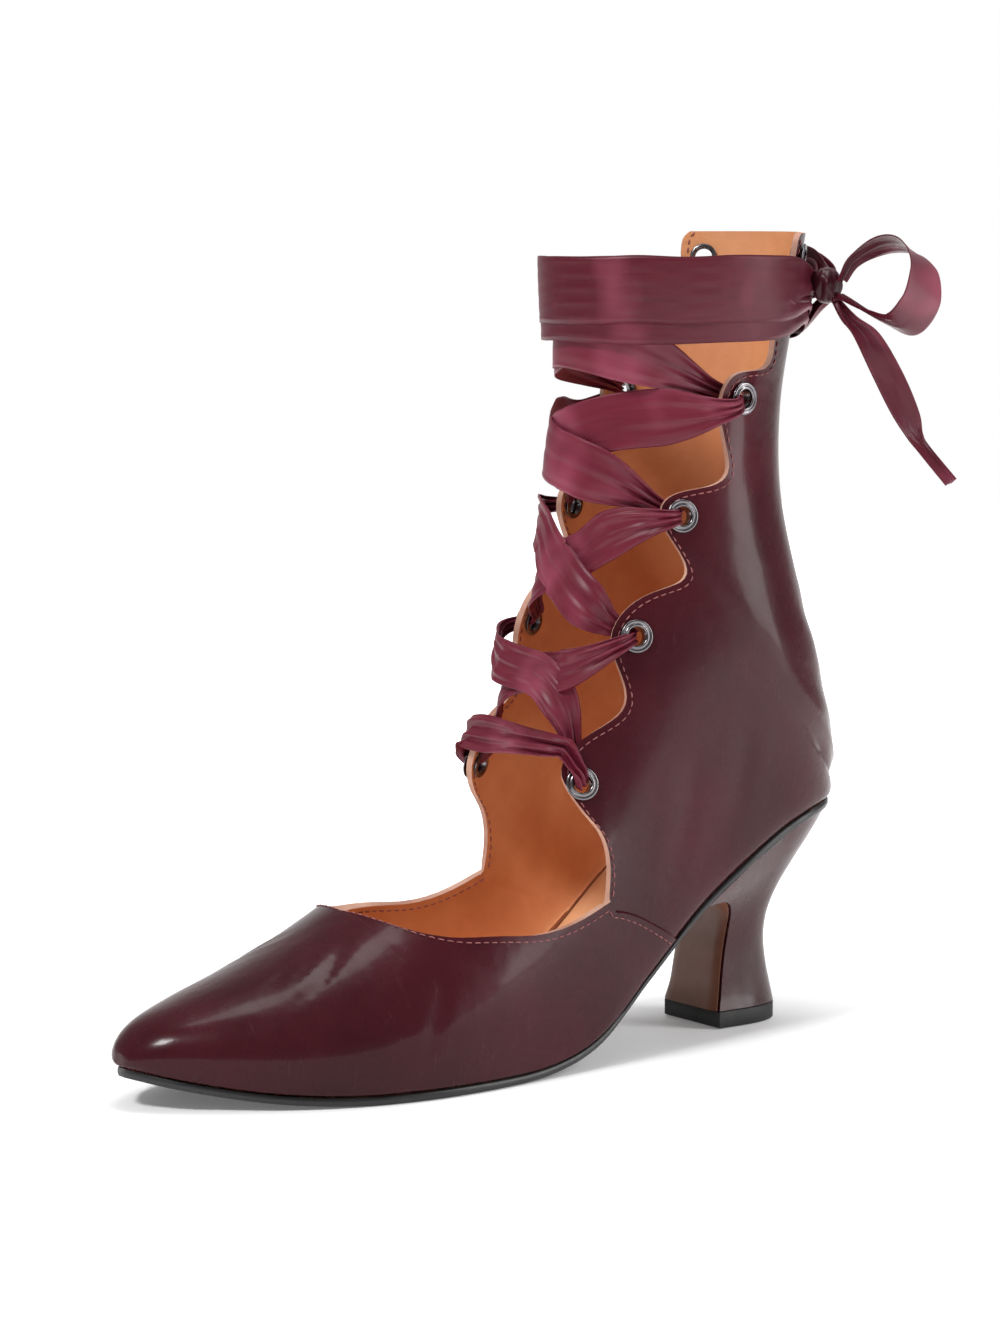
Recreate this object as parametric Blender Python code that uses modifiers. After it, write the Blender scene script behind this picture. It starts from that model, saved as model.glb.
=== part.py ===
# A women's lace-up heel for the left foot: an open-fronted ankle shoe with a
# pointed vamp, scalloped quarters laced with a ribbon, and a flared spool heel.
# Metres, +Z up. The toe points to -Y and the outer side of the foot to +X.
# The origin is on the floor under the middle of the shoe's box.
import math

import bmesh
import bpy
import numpy as np
from mathutils import Matrix, Vector

# Driving sizes of the last and the shoe
SHOE_LENGTH = 0.250  # back of the seat to the toe tip, along the floor
BALL_WIDTH = 0.078  # across the joints
HEEL_HEIGHT = 0.068  # floor to the underside of the sole at the back
INSTEP_HEIGHT = 0.089  # sole to the crest of the instep, over the waist
SHAFT_HEIGHT = 0.245  # floor to the top edge
SHAFT_WIDTH = 0.069  # across the leg at the top edge

# Upper
UPPER_WALL = 0.0018
VAMP_STEP = 0.0009  # the vamp lies over the quarters by this much
SEAM_WIDTH = 0.0008  # run of the step at the wing seam

# Sole and insole
SOLE_THICKNESS = 0.0025
SOLE_EDGE = 0.0009  # how far the sole stands out past the upper's feather line
INSOLE_THICKNESS = 0.0016
HEEL_ROUND = 0.026  # length over which the seat rounds off at the back
TOE_ROUND = 0.012

# Heel
LIFT_LENGTH = 0.029
LIFT_WIDTH = 0.0275
LIFT_HEIGHT = 0.0052
BREAST_PLACE = 0.046  # breast of the lift, forward of the back of the seat
BREAST_COVER = 0.0012
SEAT_REACH = 0.060  # how far forward the heel's flare meets the sole

# Eyelets and ribbon
EYELET_RADIUS = 0.0050
EYELET_HOLE = 0.0027
EYELET_BARREL = 0.0032
EYELET_FLANGE = 0.0007
EYELET_SEAT = 0.0005  # flange to the curved leather under it
HOLE_RADIUS = 0.0036
LOBE_MARGIN = 0.0085  # eyelet centre to the tip of its scallop
LOBE_DEPTH = 0.0140  # tip of a scallop to the bottom of the next hollow
RIBBON_WIDTH = 0.020
RIBBON_THICKNESS = 0.0008
GATHERED_WIDTH = 0.0048  # of the ribbon where it enters an eyelet or the knot
WRAP_DROP = 0.0070  # top of the upper wrap, below the top edge
WRAP_STEP = 0.0045  # the lower wrap shows this much under the upper one
TIP_WIDTH = 0.0030

FIT = 0.0003  # gap between pieces that touch
ARCH_FIT = 0.0005  # gap between the sole and the upper along the arch

# Underside of the sole, from the back of the seat to the toe: place as a share
# of SHOE_LENGTH and rise as a share of HEEL_HEIGHT.
SOLE_LINE = (
    (0.000, 1.000),
    (0.080, 0.958),
    (0.180, 0.784),
    (0.250, 0.605),
    (0.340, 0.335),
    (0.440, 0.088),
    (0.520, 0.010),
    (0.560, 0.000),
    (0.640, 0.000),
    (0.760, 0.000),
    (0.820, 0.010),
    (0.900, 0.045),
    (0.960, 0.092),
    (1.000, 0.130),
)

# Plan of the sole: place, the middle line's lean to the outer side and the half
# width, both shares of BALL_WIDTH.
OUTLINE = (
    (0.000, 0.000, 0.354),
    (0.100, 0.000, 0.342),
    (0.180, 0.004, 0.354),
    (0.250, 0.008, 0.344),
    (0.340, 0.030, 0.348),
    (0.440, 0.055, 0.400),
    (0.540, 0.050, 0.448),
    (0.620, 0.045, 0.482),
    (0.700, 0.040, 0.480),
    (0.780, 0.030, 0.434),
    (0.860, 0.008, 0.342),
    (0.930, -0.028, 0.228),
    (0.976, -0.046, 0.148),
    (1.000, -0.052, 0.100),
)

# Sections of the last over the sole, from the toe back. base and crest are
# shares of SHOE_LENGTH, lift the crest's height over the sole as a share of
# INSTEP_HEIGHT, axis and the widest half widths outer and inner shares of
# BALL_WIDTH, depth how far down the widest level lies and crown how square
# the top is.
FOOT_SECTIONS = (
    (1.000, 1.000, 0.015, -0.052, 0.000, 0.000, 0.62, 2.00),
    (0.992, 0.990, 0.081, -0.051, 0.087, 0.087, 0.62, 2.10),
    (0.964, 0.962, 0.161, -0.045, 0.180, 0.173, 0.64, 2.10),
    (0.912, 0.908, 0.249, -0.032, 0.295, 0.282, 0.66, 2.10),
    (0.844, 0.836, 0.345, -0.013, 0.410, 0.372, 0.70, 2.10),
    (0.764, 0.752, 0.456, 0.006, 0.494, 0.436, 0.72, 2.10),
    (0.684, 0.672, 0.580, 0.013, 0.519, 0.462, 0.74, 2.10),
    (0.608, 0.600, 0.726, 0.013, 0.510, 0.450, 0.74, 2.15),
    (0.520, 0.536, 0.876, 0.013, 0.478, 0.420, 0.74, 2.20),
    (0.428, 0.484, 1.035, 0.006, 0.450, 0.400, 0.70, 2.30),
    (0.332, 0.452, 1.210, 0.000, 0.418, 0.398, 0.64, 2.45),
)

# Sections from the waist up to the top edge. rise and top are heights over
# the seat as shares of the shaft's rise, base and crest shares of SHOE_LENGTH,
# wide the half width as a share of SHAFT_WIDTH.
LEG_SECTIONS = (
    (0.228, None, 0.424, 0.353, 0.464, 0.60, 2.55),
    (0.116, None, 0.404, 0.444, 0.471, 0.57, 2.55),
    (0.000, 0.000, 0.388, 0.530, 0.478, 0.55, 2.50),
    (-0.008, 0.069, 0.380, 0.605, 0.478, 0.53, 2.40),
    (0.016, 0.206, 0.376, 0.674, 0.460, 0.52, 2.30),
    (0.050, 0.361, 0.372, 0.742, 0.440, 0.50, 2.20),
    (0.078, 0.521, 0.372, 0.811, 0.432, 0.50, 2.10),
    (0.082, 0.682, 0.372, 0.877, 0.448, 0.50, 2.00),
    (0.066, 0.842, 0.372, 0.940, 0.480, 0.50, 2.00),
    (0.048, 1.000, 0.374, 1.000, 0.504, 0.50, 2.00),
)
SEAT_SECTION = len(FOOT_SECTIONS) + 2  # its base is the back of the seat
TOP_SECTION = len(FOOT_SECTIONS) + len(LEG_SECTIONS) - 1

# Places on the last are a section number and a turn in degrees: 0 on the
# crest, 90 where it is widest, 180 at the feather line or the back seam.
EYELETS = (
    (9.50, 55.0),
    (11.65, 54.0),
    (14.40, 58.0),
    (17.60, 98.0),
    (19.00, 128.0),
    (19.68, 137.0),
)
THROAT = (
    (5.50, 0.0),
    (5.56, 14.0),
    (5.75, 31.0),
    (6.10, 45.0),
    (6.70, 58.0),
    (8.00, 73.0),
    (8.95, 82.0),
)
WING_CORNER = (9.38, 87.0)
WING_HEEL = 10.30  # where the wing seam meets the feather line
QUARTER_FRONT = ((9.58, 82.0), (9.58, 73.0), (9.32, 60.0))
TOP_CORNER = ((19.92, 125.0), (20.00, 129.0))

# The ribbon's crossings from the vamp up, each of a run in front, from the outer
# side to the inner one, and a run behind. dip is how far the runs hang below a
# straight line, in sections, and skew moves it on along the run. sink, a share
# of RIBBON_WIDTH, takes them in from the last over the open front. front and
# behind bend each run over its outer part, in sections. wide is a share of
# RIBBON_WIDTH.
CROSSINGS = (
    (0.75, 2.0, 0.225, 0.00, 0.00, 0.50),
    (0.92, 1.0, 0.225, -0.25, -0.10, 0.64),
    (0.97, 1.0, 0.0, -0.60, 0.30, 0.76),
    (1.03, 1.0, 0.0, 0.00, 1.20, 0.78),
)
BAR_EDGE = 41.0  # turn at which the bar leaves each quarter
BAR_WIDTHS = ((0.0, 0.24), (0.22, 0.34), (0.5, 0.46), (0.8, 0.54), (1.0, 0.24))

# Heel block from the lift up to the sole. level is the share of the way up,
# back and breast shares of LIFT_LENGTH behind the lift's breast, wide a share
# of LIFT_WIDTH, flare how far the ring has opened to the seat.
HEEL_RINGS = (
    (0.00, 0.985, 0.000, 1.00, 0.00),
    (0.10, 0.935, 0.040, 0.94, 0.00),
    (0.24, 0.870, 0.075, 0.90, 0.00),
    (0.38, 0.845, 0.110, 0.89, 0.00),
    (0.52, 0.880, 0.150, 0.93, 0.03),
    (0.64, 0.950, 0.180, 1.02, 0.12),
    (0.76, 1.020, 0.170, 1.16, 0.32),
    (0.87, 1.060, 0.120, 1.26, 0.62),
    (0.95, 1.070, 0.060, 1.30, 0.86),
    (1.00, 1.070, 0.000, 1.30, 1.00),
)

# Ribbon ends of the bow. out is away from the knot and up is over it, shares
# of BOW_REACH; wide is a share of RIBBON_WIDTH.
BOW_REACH = 0.035
KNOT_PLACE = (19.42, 136.0)
KNOT_SIZE = (0.0065, 0.0042, 0.0055)  # half sizes: along the wrap, out, up
LOOP_ROUTE = (
    (0.26, 0.22, 0.42),
    (0.53, 0.35, 0.66),
    (0.77, 0.33, 0.88),
    (0.92, 0.15, 1.00),
    (0.91, -0.12, 1.00),
    (0.73, -0.33, 0.90),
    (0.48, -0.26, 0.60),
)
END_ROUTE = (
    (0.22, -0.28, 0.44),
    (0.39, -0.42, 0.76),
    (0.60, -0.76, 0.95),
    (0.77, -1.09, 0.86),
    (0.86, -1.28, 0.42),
    (0.96, -1.40, 0.18),
    (1.21, -1.66, 0.15),
)
# Rows close to the knot: where the outer loop leaves it and comes back, and
# where the outer end leaves it.
OUTER_LOOP_FEET = ((0.134, 0.05, 0.28), (0.128, -0.08, 0.28))
OUTER_END_FOOT = (0.085, -0.135, 0.20)
OUTER_HEADING = 22.0  # about +Z, from +X towards +Y, in degrees
# The back loop and the back end lie round the back of the leg, over the wraps.
# Rows are a place on the last, with the turn running past 180 onto the inner
# half, the height over the wraps as a share of LOOP_DEPTH, and the width.
LOOP_DEPTH = 0.0050
BACK_LOOP = (
    (19.50, 145.2, 0.60, 0.28),
    (19.52, 152.0, 0.25, 0.52),
    (19.57, 164.0, 0.00, 0.78),
    (19.60, 180.0, 0.00, 0.85),
    (19.60, 195.0, 0.00, 0.85),
    (19.60, 203.0, 0.10, 0.85),
    (19.60, 206.5, 0.50, 0.85),
    (19.60, 203.0, 0.90, 0.85),
    (19.60, 193.0, 1.00, 0.85),
    (19.58, 178.0, 1.00, 0.82),
    (19.54, 161.0, 1.00, 0.58),
    (19.50, 144.6, 1.20, 0.28),
)
BACK_END = (
    (19.27, 143.4, 0.80, 0.20),
    (19.18, 149.0, 0.40, 0.32),
    (19.02, 163.0, 0.02, 0.42),
    (18.98, 178.0, 0.00, 0.46),
    (18.90, 190.0, 0.05, 0.55),
    (18.70, 199.0, 0.25, 0.75),
    (18.42, 203.5, 0.55, 0.88),
    (18.10, 205.0, 0.78, 0.90),
    (17.82, 205.0, 0.80, 0.84),
    (17.62, 205.0, 0.75, 0.42),
    (17.52, 205.0, 0.72, 0.18),
    (17.25, 204.5, 0.65, 0.15),
)
LOOP_TILT = 22.0  # how far the width of the outer loop leans from level
END_TILT = 4.0

COLOURS = {
    "burgundy": (0.085, 0.020, 0.026),
    "black": (0.012, 0.011, 0.012),
    "tan": (0.470, 0.215, 0.095),
    "breast": (0.155, 0.062, 0.034),
    "satin": (0.160, 0.025, 0.045),
    "gunmetal": (0.450, 0.440, 0.430),
}


def clear_scene():
    for thing in list(bpy.data.objects):
        bpy.data.objects.remove(thing, do_unlink=True)


def new_collection(name):
    collection = bpy.data.collections.new(name)
    bpy.context.scene.collection.children.link(collection)
    return collection


def material(name, roughness, metallic=0.0):
    made = bpy.data.materials.get(name) or bpy.data.materials.new(name)
    made.use_nodes = True
    shader = made.node_tree.nodes["Principled BSDF"]
    shader.inputs["Base Color"].default_value = (*COLOURS[name], 1.0)
    shader.inputs["Roughness"].default_value = roughness
    shader.inputs["Metallic"].default_value = metallic
    return made


# Curves through tables


def smooth(xs, ys, x):
    """A smooth curve through the points, flat beyond both ends."""
    xs, ys = np.asarray(xs, float), np.asarray(ys, float)
    x = np.asarray(x, float)
    slopes = np.gradient(ys, xs)
    i = np.clip(np.searchsorted(xs, x) - 1, 0, len(xs) - 2)
    gap = xs[i + 1] - xs[i]
    t = np.clip((x - xs[i]) / gap, 0.0, 1.0)
    ends = (2 * t**3 - 3 * t**2 + 1) * ys[i] + (3 * t**2 - 2 * t**3) * ys[i + 1]
    turns = (t**3 - 2 * t**2 + t) * slopes[i] + (t**3 - t**2) * slopes[i + 1]
    return ends + gap * turns


def column(table, index):
    return [row[index] for row in table]


def sole_under(forward):
    """Height of the sole's underside, this far forward of the seat's back."""
    share = np.asarray(forward) / SHOE_LENGTH
    rise = smooth(column(SOLE_LINE, 0), column(SOLE_LINE, 1), share)
    return np.maximum(rise, 0.0) * HEEL_HEIGHT


def sole_half(forward, inset=0.0):
    """Middle line and half width of the sole's plan, drawn in by inset."""
    forward = np.asarray(forward, float)
    share = forward / SHOE_LENGTH
    lean = smooth(column(OUTLINE, 0), column(OUTLINE, 1), share) * BALL_WIDTH
    half = smooth(column(OUTLINE, 0), column(OUTLINE, 2), share) * BALL_WIDTH
    from_back = np.clip((forward - inset) / HEEL_ROUND, 0.0, 1.0)
    from_toe = np.clip((SHOE_LENGTH - inset - forward) / TOE_ROUND, 0.0, 1.0)
    rounding = np.sqrt((1 - (1 - from_back) ** 2) * (1 - (1 - from_toe) ** 2))
    return lean, np.maximum(half - inset, 0.0) * rounding


def last_rows():
    """Every section of the last in metres: base, base height, crest, crest
    height, axis, outer and inner half width, depth and crown."""
    floor = SOLE_THICKNESS + ARCH_FIT
    seat = HEEL_HEIGHT + floor
    shaft_rise = SHAFT_HEIGHT - seat
    rows = []
    for base, crest, lift, axis, outer, inner, depth, crown in FOOT_SECTIONS:
        under = float(sole_under(base * SHOE_LENGTH)) + floor
        over = float(sole_under(crest * SHOE_LENGTH)) + floor
        top = over + lift * INSTEP_HEIGHT
        wide = (outer * BALL_WIDTH, inner * BALL_WIDTH)
        place = (base * SHOE_LENGTH, under, crest * SHOE_LENGTH, top)
        rows.append((*place, axis * BALL_WIDTH, *wide, depth, crown))
    for base, rise, crest, top, wide, depth, crown in LEG_SECTIONS:
        if rise is None:
            under = float(sole_under(base * SHOE_LENGTH)) + floor
        else:
            under = seat + rise * shaft_rise
        place = (base * SHOE_LENGTH, under, crest * SHOE_LENGTH, seat + top * shaft_rise)
        rows.append((*place, 0.0, wide * SHAFT_WIDTH, wide * SHAFT_WIDTH, depth, crown))
    return np.array(rows)


ROWS = last_rows()


def last_point(section, turn, side):
    """Points on the last. side is 1 on the outer half and -1 on the inner."""
    section, turn = np.broadcast_arrays(
        np.asarray(section, float), np.radians(np.asarray(turn, float))
    )
    steps = np.arange(len(ROWS))
    base, under, crest, top, axis, outer, inner, depth, crown = (
        smooth(steps, ROWS[:, k], section) for k in range(ROWS.shape[1])
    )
    seat_side = section <= SEAT_SECTION
    under = np.where(seat_side, sole_under(base) + SOLE_THICKNESS + ARCH_FIT, under)
    lean, half = sole_half(base, SOLE_EDGE)
    foot = np.where(seat_side, lean + side * half, 0.0)
    widest = axis + side * (outer if side > 0 else inner)
    run, fall = base - crest, under - top
    sine, cosine = np.abs(np.sin(turn)), np.cos(turn)
    upper_half = cosine >= 0
    power = np.where(upper_half, crown, 2.0)
    down = np.abs(cosine) ** (2 / power)
    out = sine ** (2 / power)
    share = np.where(upper_half, depth * (1 - down), depth + (1 - depth) * down)
    across = np.where(upper_half, axis + (widest - axis) * out, foot + (widest - foot) * out)
    return np.stack([across, -(crest + run * share), top + fall * share], -1)


def last_normal(section, turn, side):
    """Outward unit normals of the last, by small steps along it. On the middle
    plane they have no part across it."""
    section, turn = np.broadcast_arrays(np.asarray(section, float), np.asarray(turn, float))
    near = np.clip(turn, 2.0, 178.0)
    along = last_point(section + 0.02, near, side) - last_point(section - 0.02, near, side)
    round_it = last_point(section, near + 1.0, side) - last_point(section, near - 1.0, side)
    normal = np.cross(round_it, along) * side
    middle = (turn < 0.01) | ((turn > 179.99) & (section > SEAT_SECTION))
    normal[..., 0] = np.where(middle, 0.0, normal[..., 0])
    return normal / np.maximum(np.linalg.norm(normal, axis=-1, keepdims=True), 1e-12)


def off_last(section, turn, side, lift):
    return last_point(section, turn, side) + last_normal(section, turn, side) * lift


def nudged(place, along, forward):
    """The place on the last moved by lengths along and square to a line of
    eyelets, worked out on the outer half. along is a unit vector."""
    section, turn = place
    here = last_point(section, turn, 1)
    d_section = (last_point(section + 0.1, turn, 1) - here) / 0.1
    d_turn = (last_point(section, turn + 2.0, 1) - here) / 2.0
    ahead = np.cross(along, np.cross(d_section, d_turn))
    ahead /= np.linalg.norm(ahead)
    if ahead[1] > 0:
        ahead = -ahead
    steps = np.stack([d_section, d_turn], 1)
    moved = np.linalg.lstsq(steps, ahead * forward, rcond=None)[0]
    return section + moved[0], turn + moved[1]


# Upper


def scallops():
    """Front edge of a quarter past the eyelets, as places on the last: a wave
    with a tip at every eyelet and a hollow between each two."""
    edge = []
    for (first, second) in zip(EYELETS, EYELETS[1:]):
        start, end = (last_point(*place, 1) for place in (first, second))
        spacing = np.linalg.norm(end - start)
        along = (end - start) / spacing
        depth = min(LOBE_DEPTH, 0.35 * spacing)
        count = 8 if spacing > 2 * LOBE_DEPTH else 4
        for k in range(count):
            share = k / count
            place = tuple(np.array(first) + share * (np.array(second) - np.array(first)))
            wave = math.cos(2 * math.pi * share**1.1)
            edge.append(nudged(place, along, LOBE_MARGIN - depth * ((1 - wave) / 2) ** 1.3))
    edge.append(nudged(EYELETS[-1], along, LOBE_MARGIN * 0.8))
    return edge


def eased_edge(points, count):
    """Places spaced along a smooth curve through the points."""
    steps = np.arange(len(points))
    fine = np.linspace(0, len(points) - 1, count)
    return [tuple(place) for place in zip(*(smooth(steps, column(points, k), fine) for k in (0, 1)))]


def opening_edge():
    """The opening's edge from the vamp's middle to the top, and the number of
    its place at the wing corner."""
    throat = eased_edge([*THROAT, WING_CORNER], 11)
    front = eased_edge([WING_CORNER, *QUARTER_FRONT, scallops()[0]], 7)[1:-1]
    return [*throat, *front, *scallops(), *TOP_CORNER], len(throat) - 1


def feather_length(sections):
    """Running length of the feather line and the back seam."""
    path = last_point(sections, 180.0, 1)
    steps = np.linalg.norm(np.diff(path, axis=0), axis=1)
    return np.concatenate([[0.0], np.cumsum(steps)])


def rib_feet(edge, corner):
    """Where each rib of the opening starts on the feather line: spread evenly
    there, and turned to follow the wing seam at the corner."""
    sections = np.linspace(THROAT[0][0], TOP_SECTION, 600)
    length = feather_length(sections)
    wanted = np.interp(np.maximum.accumulate(column(edge, 0)), sections, length)
    corner_length = np.interp(WING_HEEL, sections, length)
    feet = np.empty(len(edge))
    for first, last in ((0, corner), (corner, len(edge) - 1)):
        low = length[0] if first == 0 else corner_length
        high = corner_length if last == corner else length[-1]
        even = np.linspace(low, high, last - first + 1)
        kept = np.clip(wanted[first : last + 1], low, high)
        mix = 0.6 * even + 0.4 * kept
        feet[first : last + 1] = np.interp(mix, length, sections)
    feet[corner] = WING_HEEL
    feet[np.argmin(np.abs(feet - SEAT_SECTION))] = SEAT_SECTION
    return feet


def rib(foot, edge, count):
    """Places from the feather line up to the edge of the opening."""
    fine = np.linspace(0.0, 1.0, 61)
    section = foot + (edge[0] - foot) * fine**2
    turn = 180.0 + (edge[1] - 180.0) * fine
    path = last_point(section, turn, 1)
    steps = np.linalg.norm(np.diff(path, axis=0), axis=1)
    length = np.concatenate([[0.0], np.cumsum(steps)])
    share = 0.65 * length / length[-1] + 0.35 * fine
    at = np.interp(np.linspace(0.0, 1.0, count + 1), share, fine)
    return [(foot + (edge[0] - foot) * v * v, 180.0 + (edge[1] - 180.0) * v) for v in at]


VAMP_RIBS = (0.0, 0.35, 0.75, 1.2, 1.7, 2.2, 2.75, 3.3, 3.85, 4.4, 4.95)
RIB_STEPS = 12


def upper_ribs():
    """The ribs of one half, and how many of them the vamp covers."""
    ribs = [rib(section, (section, 0.0), RIB_STEPS) for section in VAMP_RIBS]
    edge, corner = opening_edge()
    feet = rib_feet(edge, corner)
    covered = len(ribs) + corner + 1
    for k, place in enumerate(edge):
        ribs.append(rib(feet[k], place, RIB_STEPS))
        if k == corner:
            behind = np.linalg.norm(
                last_point(feet[k] + 0.1, 150.0, 1) - last_point(feet[k], 150.0, 1)
            )
            shift = 0.1 * SEAM_WIDTH / behind
            ribs.append([(section + shift, turn) for section, turn in ribs[-1]])
    return ribs, covered


def wall_share(section):
    """Share of the wall left where the toe is too slim to hold all of it."""
    half = float(smooth(np.arange(len(ROWS)), ROWS[:, 5], section))
    return min(1.0, 0.12 + 0.6 * half / (3 * UPPER_WALL))


def upper_surface():
    """Outer face of the upper as an open mesh, with its wall as a weight."""
    ribs, covered = upper_ribs()
    mesh = bmesh.new()
    weights = mesh.verts.layers.deform.verify()
    thickest = UPPER_WALL + VAMP_STEP
    for side in (1, -1):
        grid = []
        for number, places in enumerate(ribs):
            row = []
            for section, turn in places:
                step = VAMP_STEP if number < covered else 0.0
                point = last_point(section, turn, side)
                if number:
                    out = last_normal(max(section, 0.05), turn, side)
                    point = point + out * (1.0, 1.0, float(out[2] > 0)) * step
                vert = mesh.verts.new(point)
                vert[weights][0] = (UPPER_WALL * wall_share(section) + step) / thickest
                row.append(vert)
            grid.append(row)
        for first, second in zip(grid, grid[1:]):
            for k in range(RIB_STEPS):
                corners = (first[k], first[k + 1], second[k + 1], second[k])
                mesh.faces.new(corners[::-1] if side > 0 else corners)
    bmesh.ops.remove_doubles(mesh, verts=mesh.verts, dist=2e-5)
    return mesh


def finish(mesh, name, collection, look, smooth_shading=True):
    """Turns a bmesh into an object with one material."""
    data = bpy.data.meshes.new(name)
    mesh.to_mesh(data)
    mesh.free()
    made = bpy.data.objects.new(name, data)
    collection.objects.link(made)
    data.materials.append(look)
    if smooth_shading:
        data.shade_smooth()
        data.set_sharp_from_angle(angle=math.radians(40))
    return made


def make_upper(parts, cutters):
    mesh = upper_surface()
    upper = finish(mesh, "upper", parts, material("burgundy", 0.28))
    wall = upper.vertex_groups.new(name="wall")
    shell = upper.modifiers.new("wall", "SOLIDIFY")
    shell.thickness = UPPER_WALL + VAMP_STEP
    shell.offset = -1.0
    shell.vertex_group = wall.name
    shell.use_even_offset = True
    holes = upper.modifiers.new("eyelet_holes", "BOOLEAN")
    holes.operation = "DIFFERENCE"
    holes.solver = "EXACT"
    holes.object = hole_cutter(cutters)
    return upper


def eyelet_frame(number, side):
    """Rotation and place of an eyelet, its +Z pointing out of the leather."""
    section, turn = EYELETS[number]
    out = Vector(last_normal(section, turn, side))
    place = Vector(last_point(section, turn, side))
    return Matrix.Translation(place) @ out.to_track_quat("Z", "Y").to_matrix().to_4x4()


def each_eyelet():
    for side, half in ((1, "outer"), (-1, "inner")):
        for number in range(len(EYELETS)):
            yield number, side, half


def hole_cutter(cutters):
    mesh = bmesh.new()
    for number, side, _ in each_eyelet():
        bmesh.ops.create_cone(
            mesh,
            cap_ends=True,
            segments=14,
            radius1=HOLE_RADIUS,
            radius2=HOLE_RADIUS,
            depth=5 * UPPER_WALL,
            matrix=eyelet_frame(number, side),
        )
    cutter = finish(mesh, "eyelet_hole_cutter", cutters, material("gunmetal", 0.3, 1.0), False)
    cutter.hide_render = True
    cutter.display_type = "WIRE"
    return cutter


EYELET_SAG = EYELET_RADIUS**2 / (1.6 * SHAFT_WIDTH)  # drop of the leather under it


def eyelet_mesh():
    """A turned ring: flange, barrel through the wall, and a rolled inner lip."""
    bottom = -UPPER_WALL - EYELET_SEAT - EYELET_SAG
    lip = (EYELET_BARREL + HOLE_RADIUS) / 2 + EYELET_FLANGE
    outline = (
        (EYELET_HOLE, EYELET_SEAT + EYELET_FLANGE),
        (EYELET_RADIUS - EYELET_FLANGE, EYELET_SEAT + EYELET_FLANGE),
        (EYELET_RADIUS, EYELET_SEAT + EYELET_FLANGE / 2),
        (EYELET_RADIUS, EYELET_SEAT),
        (EYELET_BARREL, EYELET_SEAT),
        (EYELET_BARREL, bottom),
        (lip, bottom),
        (lip, bottom - EYELET_FLANGE),
        (EYELET_HOLE, bottom - EYELET_FLANGE),
    )
    mesh = bmesh.new()
    verts = [mesh.verts.new((radius, 0.0, height)) for radius, height in outline]
    for first, second in zip(verts, verts[1:] + verts[:1]):
        mesh.edges.new((first, second))
    data = bpy.data.meshes.new("eyelet")
    mesh.to_mesh(data)
    mesh.free()
    data.materials.append(material("gunmetal", 0.3, 1.0))
    return data


def make_eyelets(parts):
    shared = eyelet_mesh()
    made = []
    for number, side, half in each_eyelet():
        ring = bpy.data.objects.new(f"eyelet_{half}_{number + 1}", shared)
        parts.objects.link(ring)
        ring.matrix_world = eyelet_frame(number, side)
        turned = ring.modifiers.new("turned", "SCREW")
        turned.axis = "Z"
        turned.steps = 10
        turned.render_steps = 10
        turned.use_smooth_shade = True
        turned.use_merge_vertices = True
        turned.merge_threshold = 1e-6
        turned.use_normal_calculate = True
        made.append(ring)
    return made


# Sole, insole and heel


def plan_stations(start, end, count):
    """Stations along the sole, closer together where the ends round off."""
    even = np.linspace(0.0, 1.0, count)
    eased = 0.5 * even + 0.5 * (1 - np.cos(math.pi * even)) / 2
    return start + (end - start) * eased


def sole_slab(name, parts, look, inset, lower, thickness, toe_gap=0.0, count=34):
    """A thin slab of the sole's plan that follows its arch."""
    tiny = 0.0004
    stations = plan_stations(inset + tiny, SHOE_LENGTH - inset - toe_gap - tiny, count)
    mesh = bmesh.new()
    rings = []
    for forward in stations:
        lean, half = sole_half(forward, inset)
        low = float(sole_under(forward)) + lower
        ring = []
        for across, height in ((1, 0), (1, 1), (0, 1), (-1, 1), (-1, 0), (0, 0)):
            point = (lean + across * half, -forward, low + height * thickness)
            ring.append(mesh.verts.new(point))
        rings.append(ring)
    for first, second in zip(rings, rings[1:]):
        for k in range(6):
            mesh.faces.new((first[k], first[(k + 1) % 6], second[(k + 1) % 6], second[k]))
    mesh.faces.new(rings[0][::-1])
    mesh.faces.new(rings[-1])
    bmesh.ops.recalc_face_normals(mesh, faces=mesh.faces)
    return finish(mesh, name, parts, look)


def d_plan(count):
    """Unit D-shaped ring, counter-clockwise from above: x from -1 to 1 and y
    from 0 at the flat breast to 1 at the round back."""
    flat = [(-1 + 2 * k / 4, 0.0) for k in range(4)]
    arc = []
    for k in range(count + 1):
        turn = math.pi * k / count
        squared = 0.82
        x = math.copysign(abs(math.cos(turn)) ** squared, math.cos(turn))
        arc.append((x, 0.30 + 0.70 * math.sin(turn) ** squared))
    return flat + [(1.0, 0.0)] + arc


def lift_point(x, y, back, breast, wide):
    """A stem ring's point in plan, from its shares of the lift."""
    front = BREAST_PLACE - breast * LIFT_LENGTH
    rear = BREAST_PLACE - back * LIFT_LENGTH
    return x * wide * LIFT_WIDTH / 2, front + (rear - front) * y


def seat_point(x, y):
    """Where the same point of the D lands on the sole's underside."""
    forward = SEAT_REACH * (1 - y) ** 0.9 + SOLE_EDGE
    lean, half = sole_half(forward, SOLE_EDGE)
    if y > 0.30:
        angle = math.acos(max(-1.0, min(1.0, x)))
        forward = SOLE_EDGE + SEAT_REACH * 0.55 * (1 - math.sin(angle))
        lean, half = sole_half(forward, SOLE_EDGE)
        return float(lean + math.copysign(half, x) if abs(x) > 1e-6 else lean), forward
    return float(lean + x * half), forward


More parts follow.
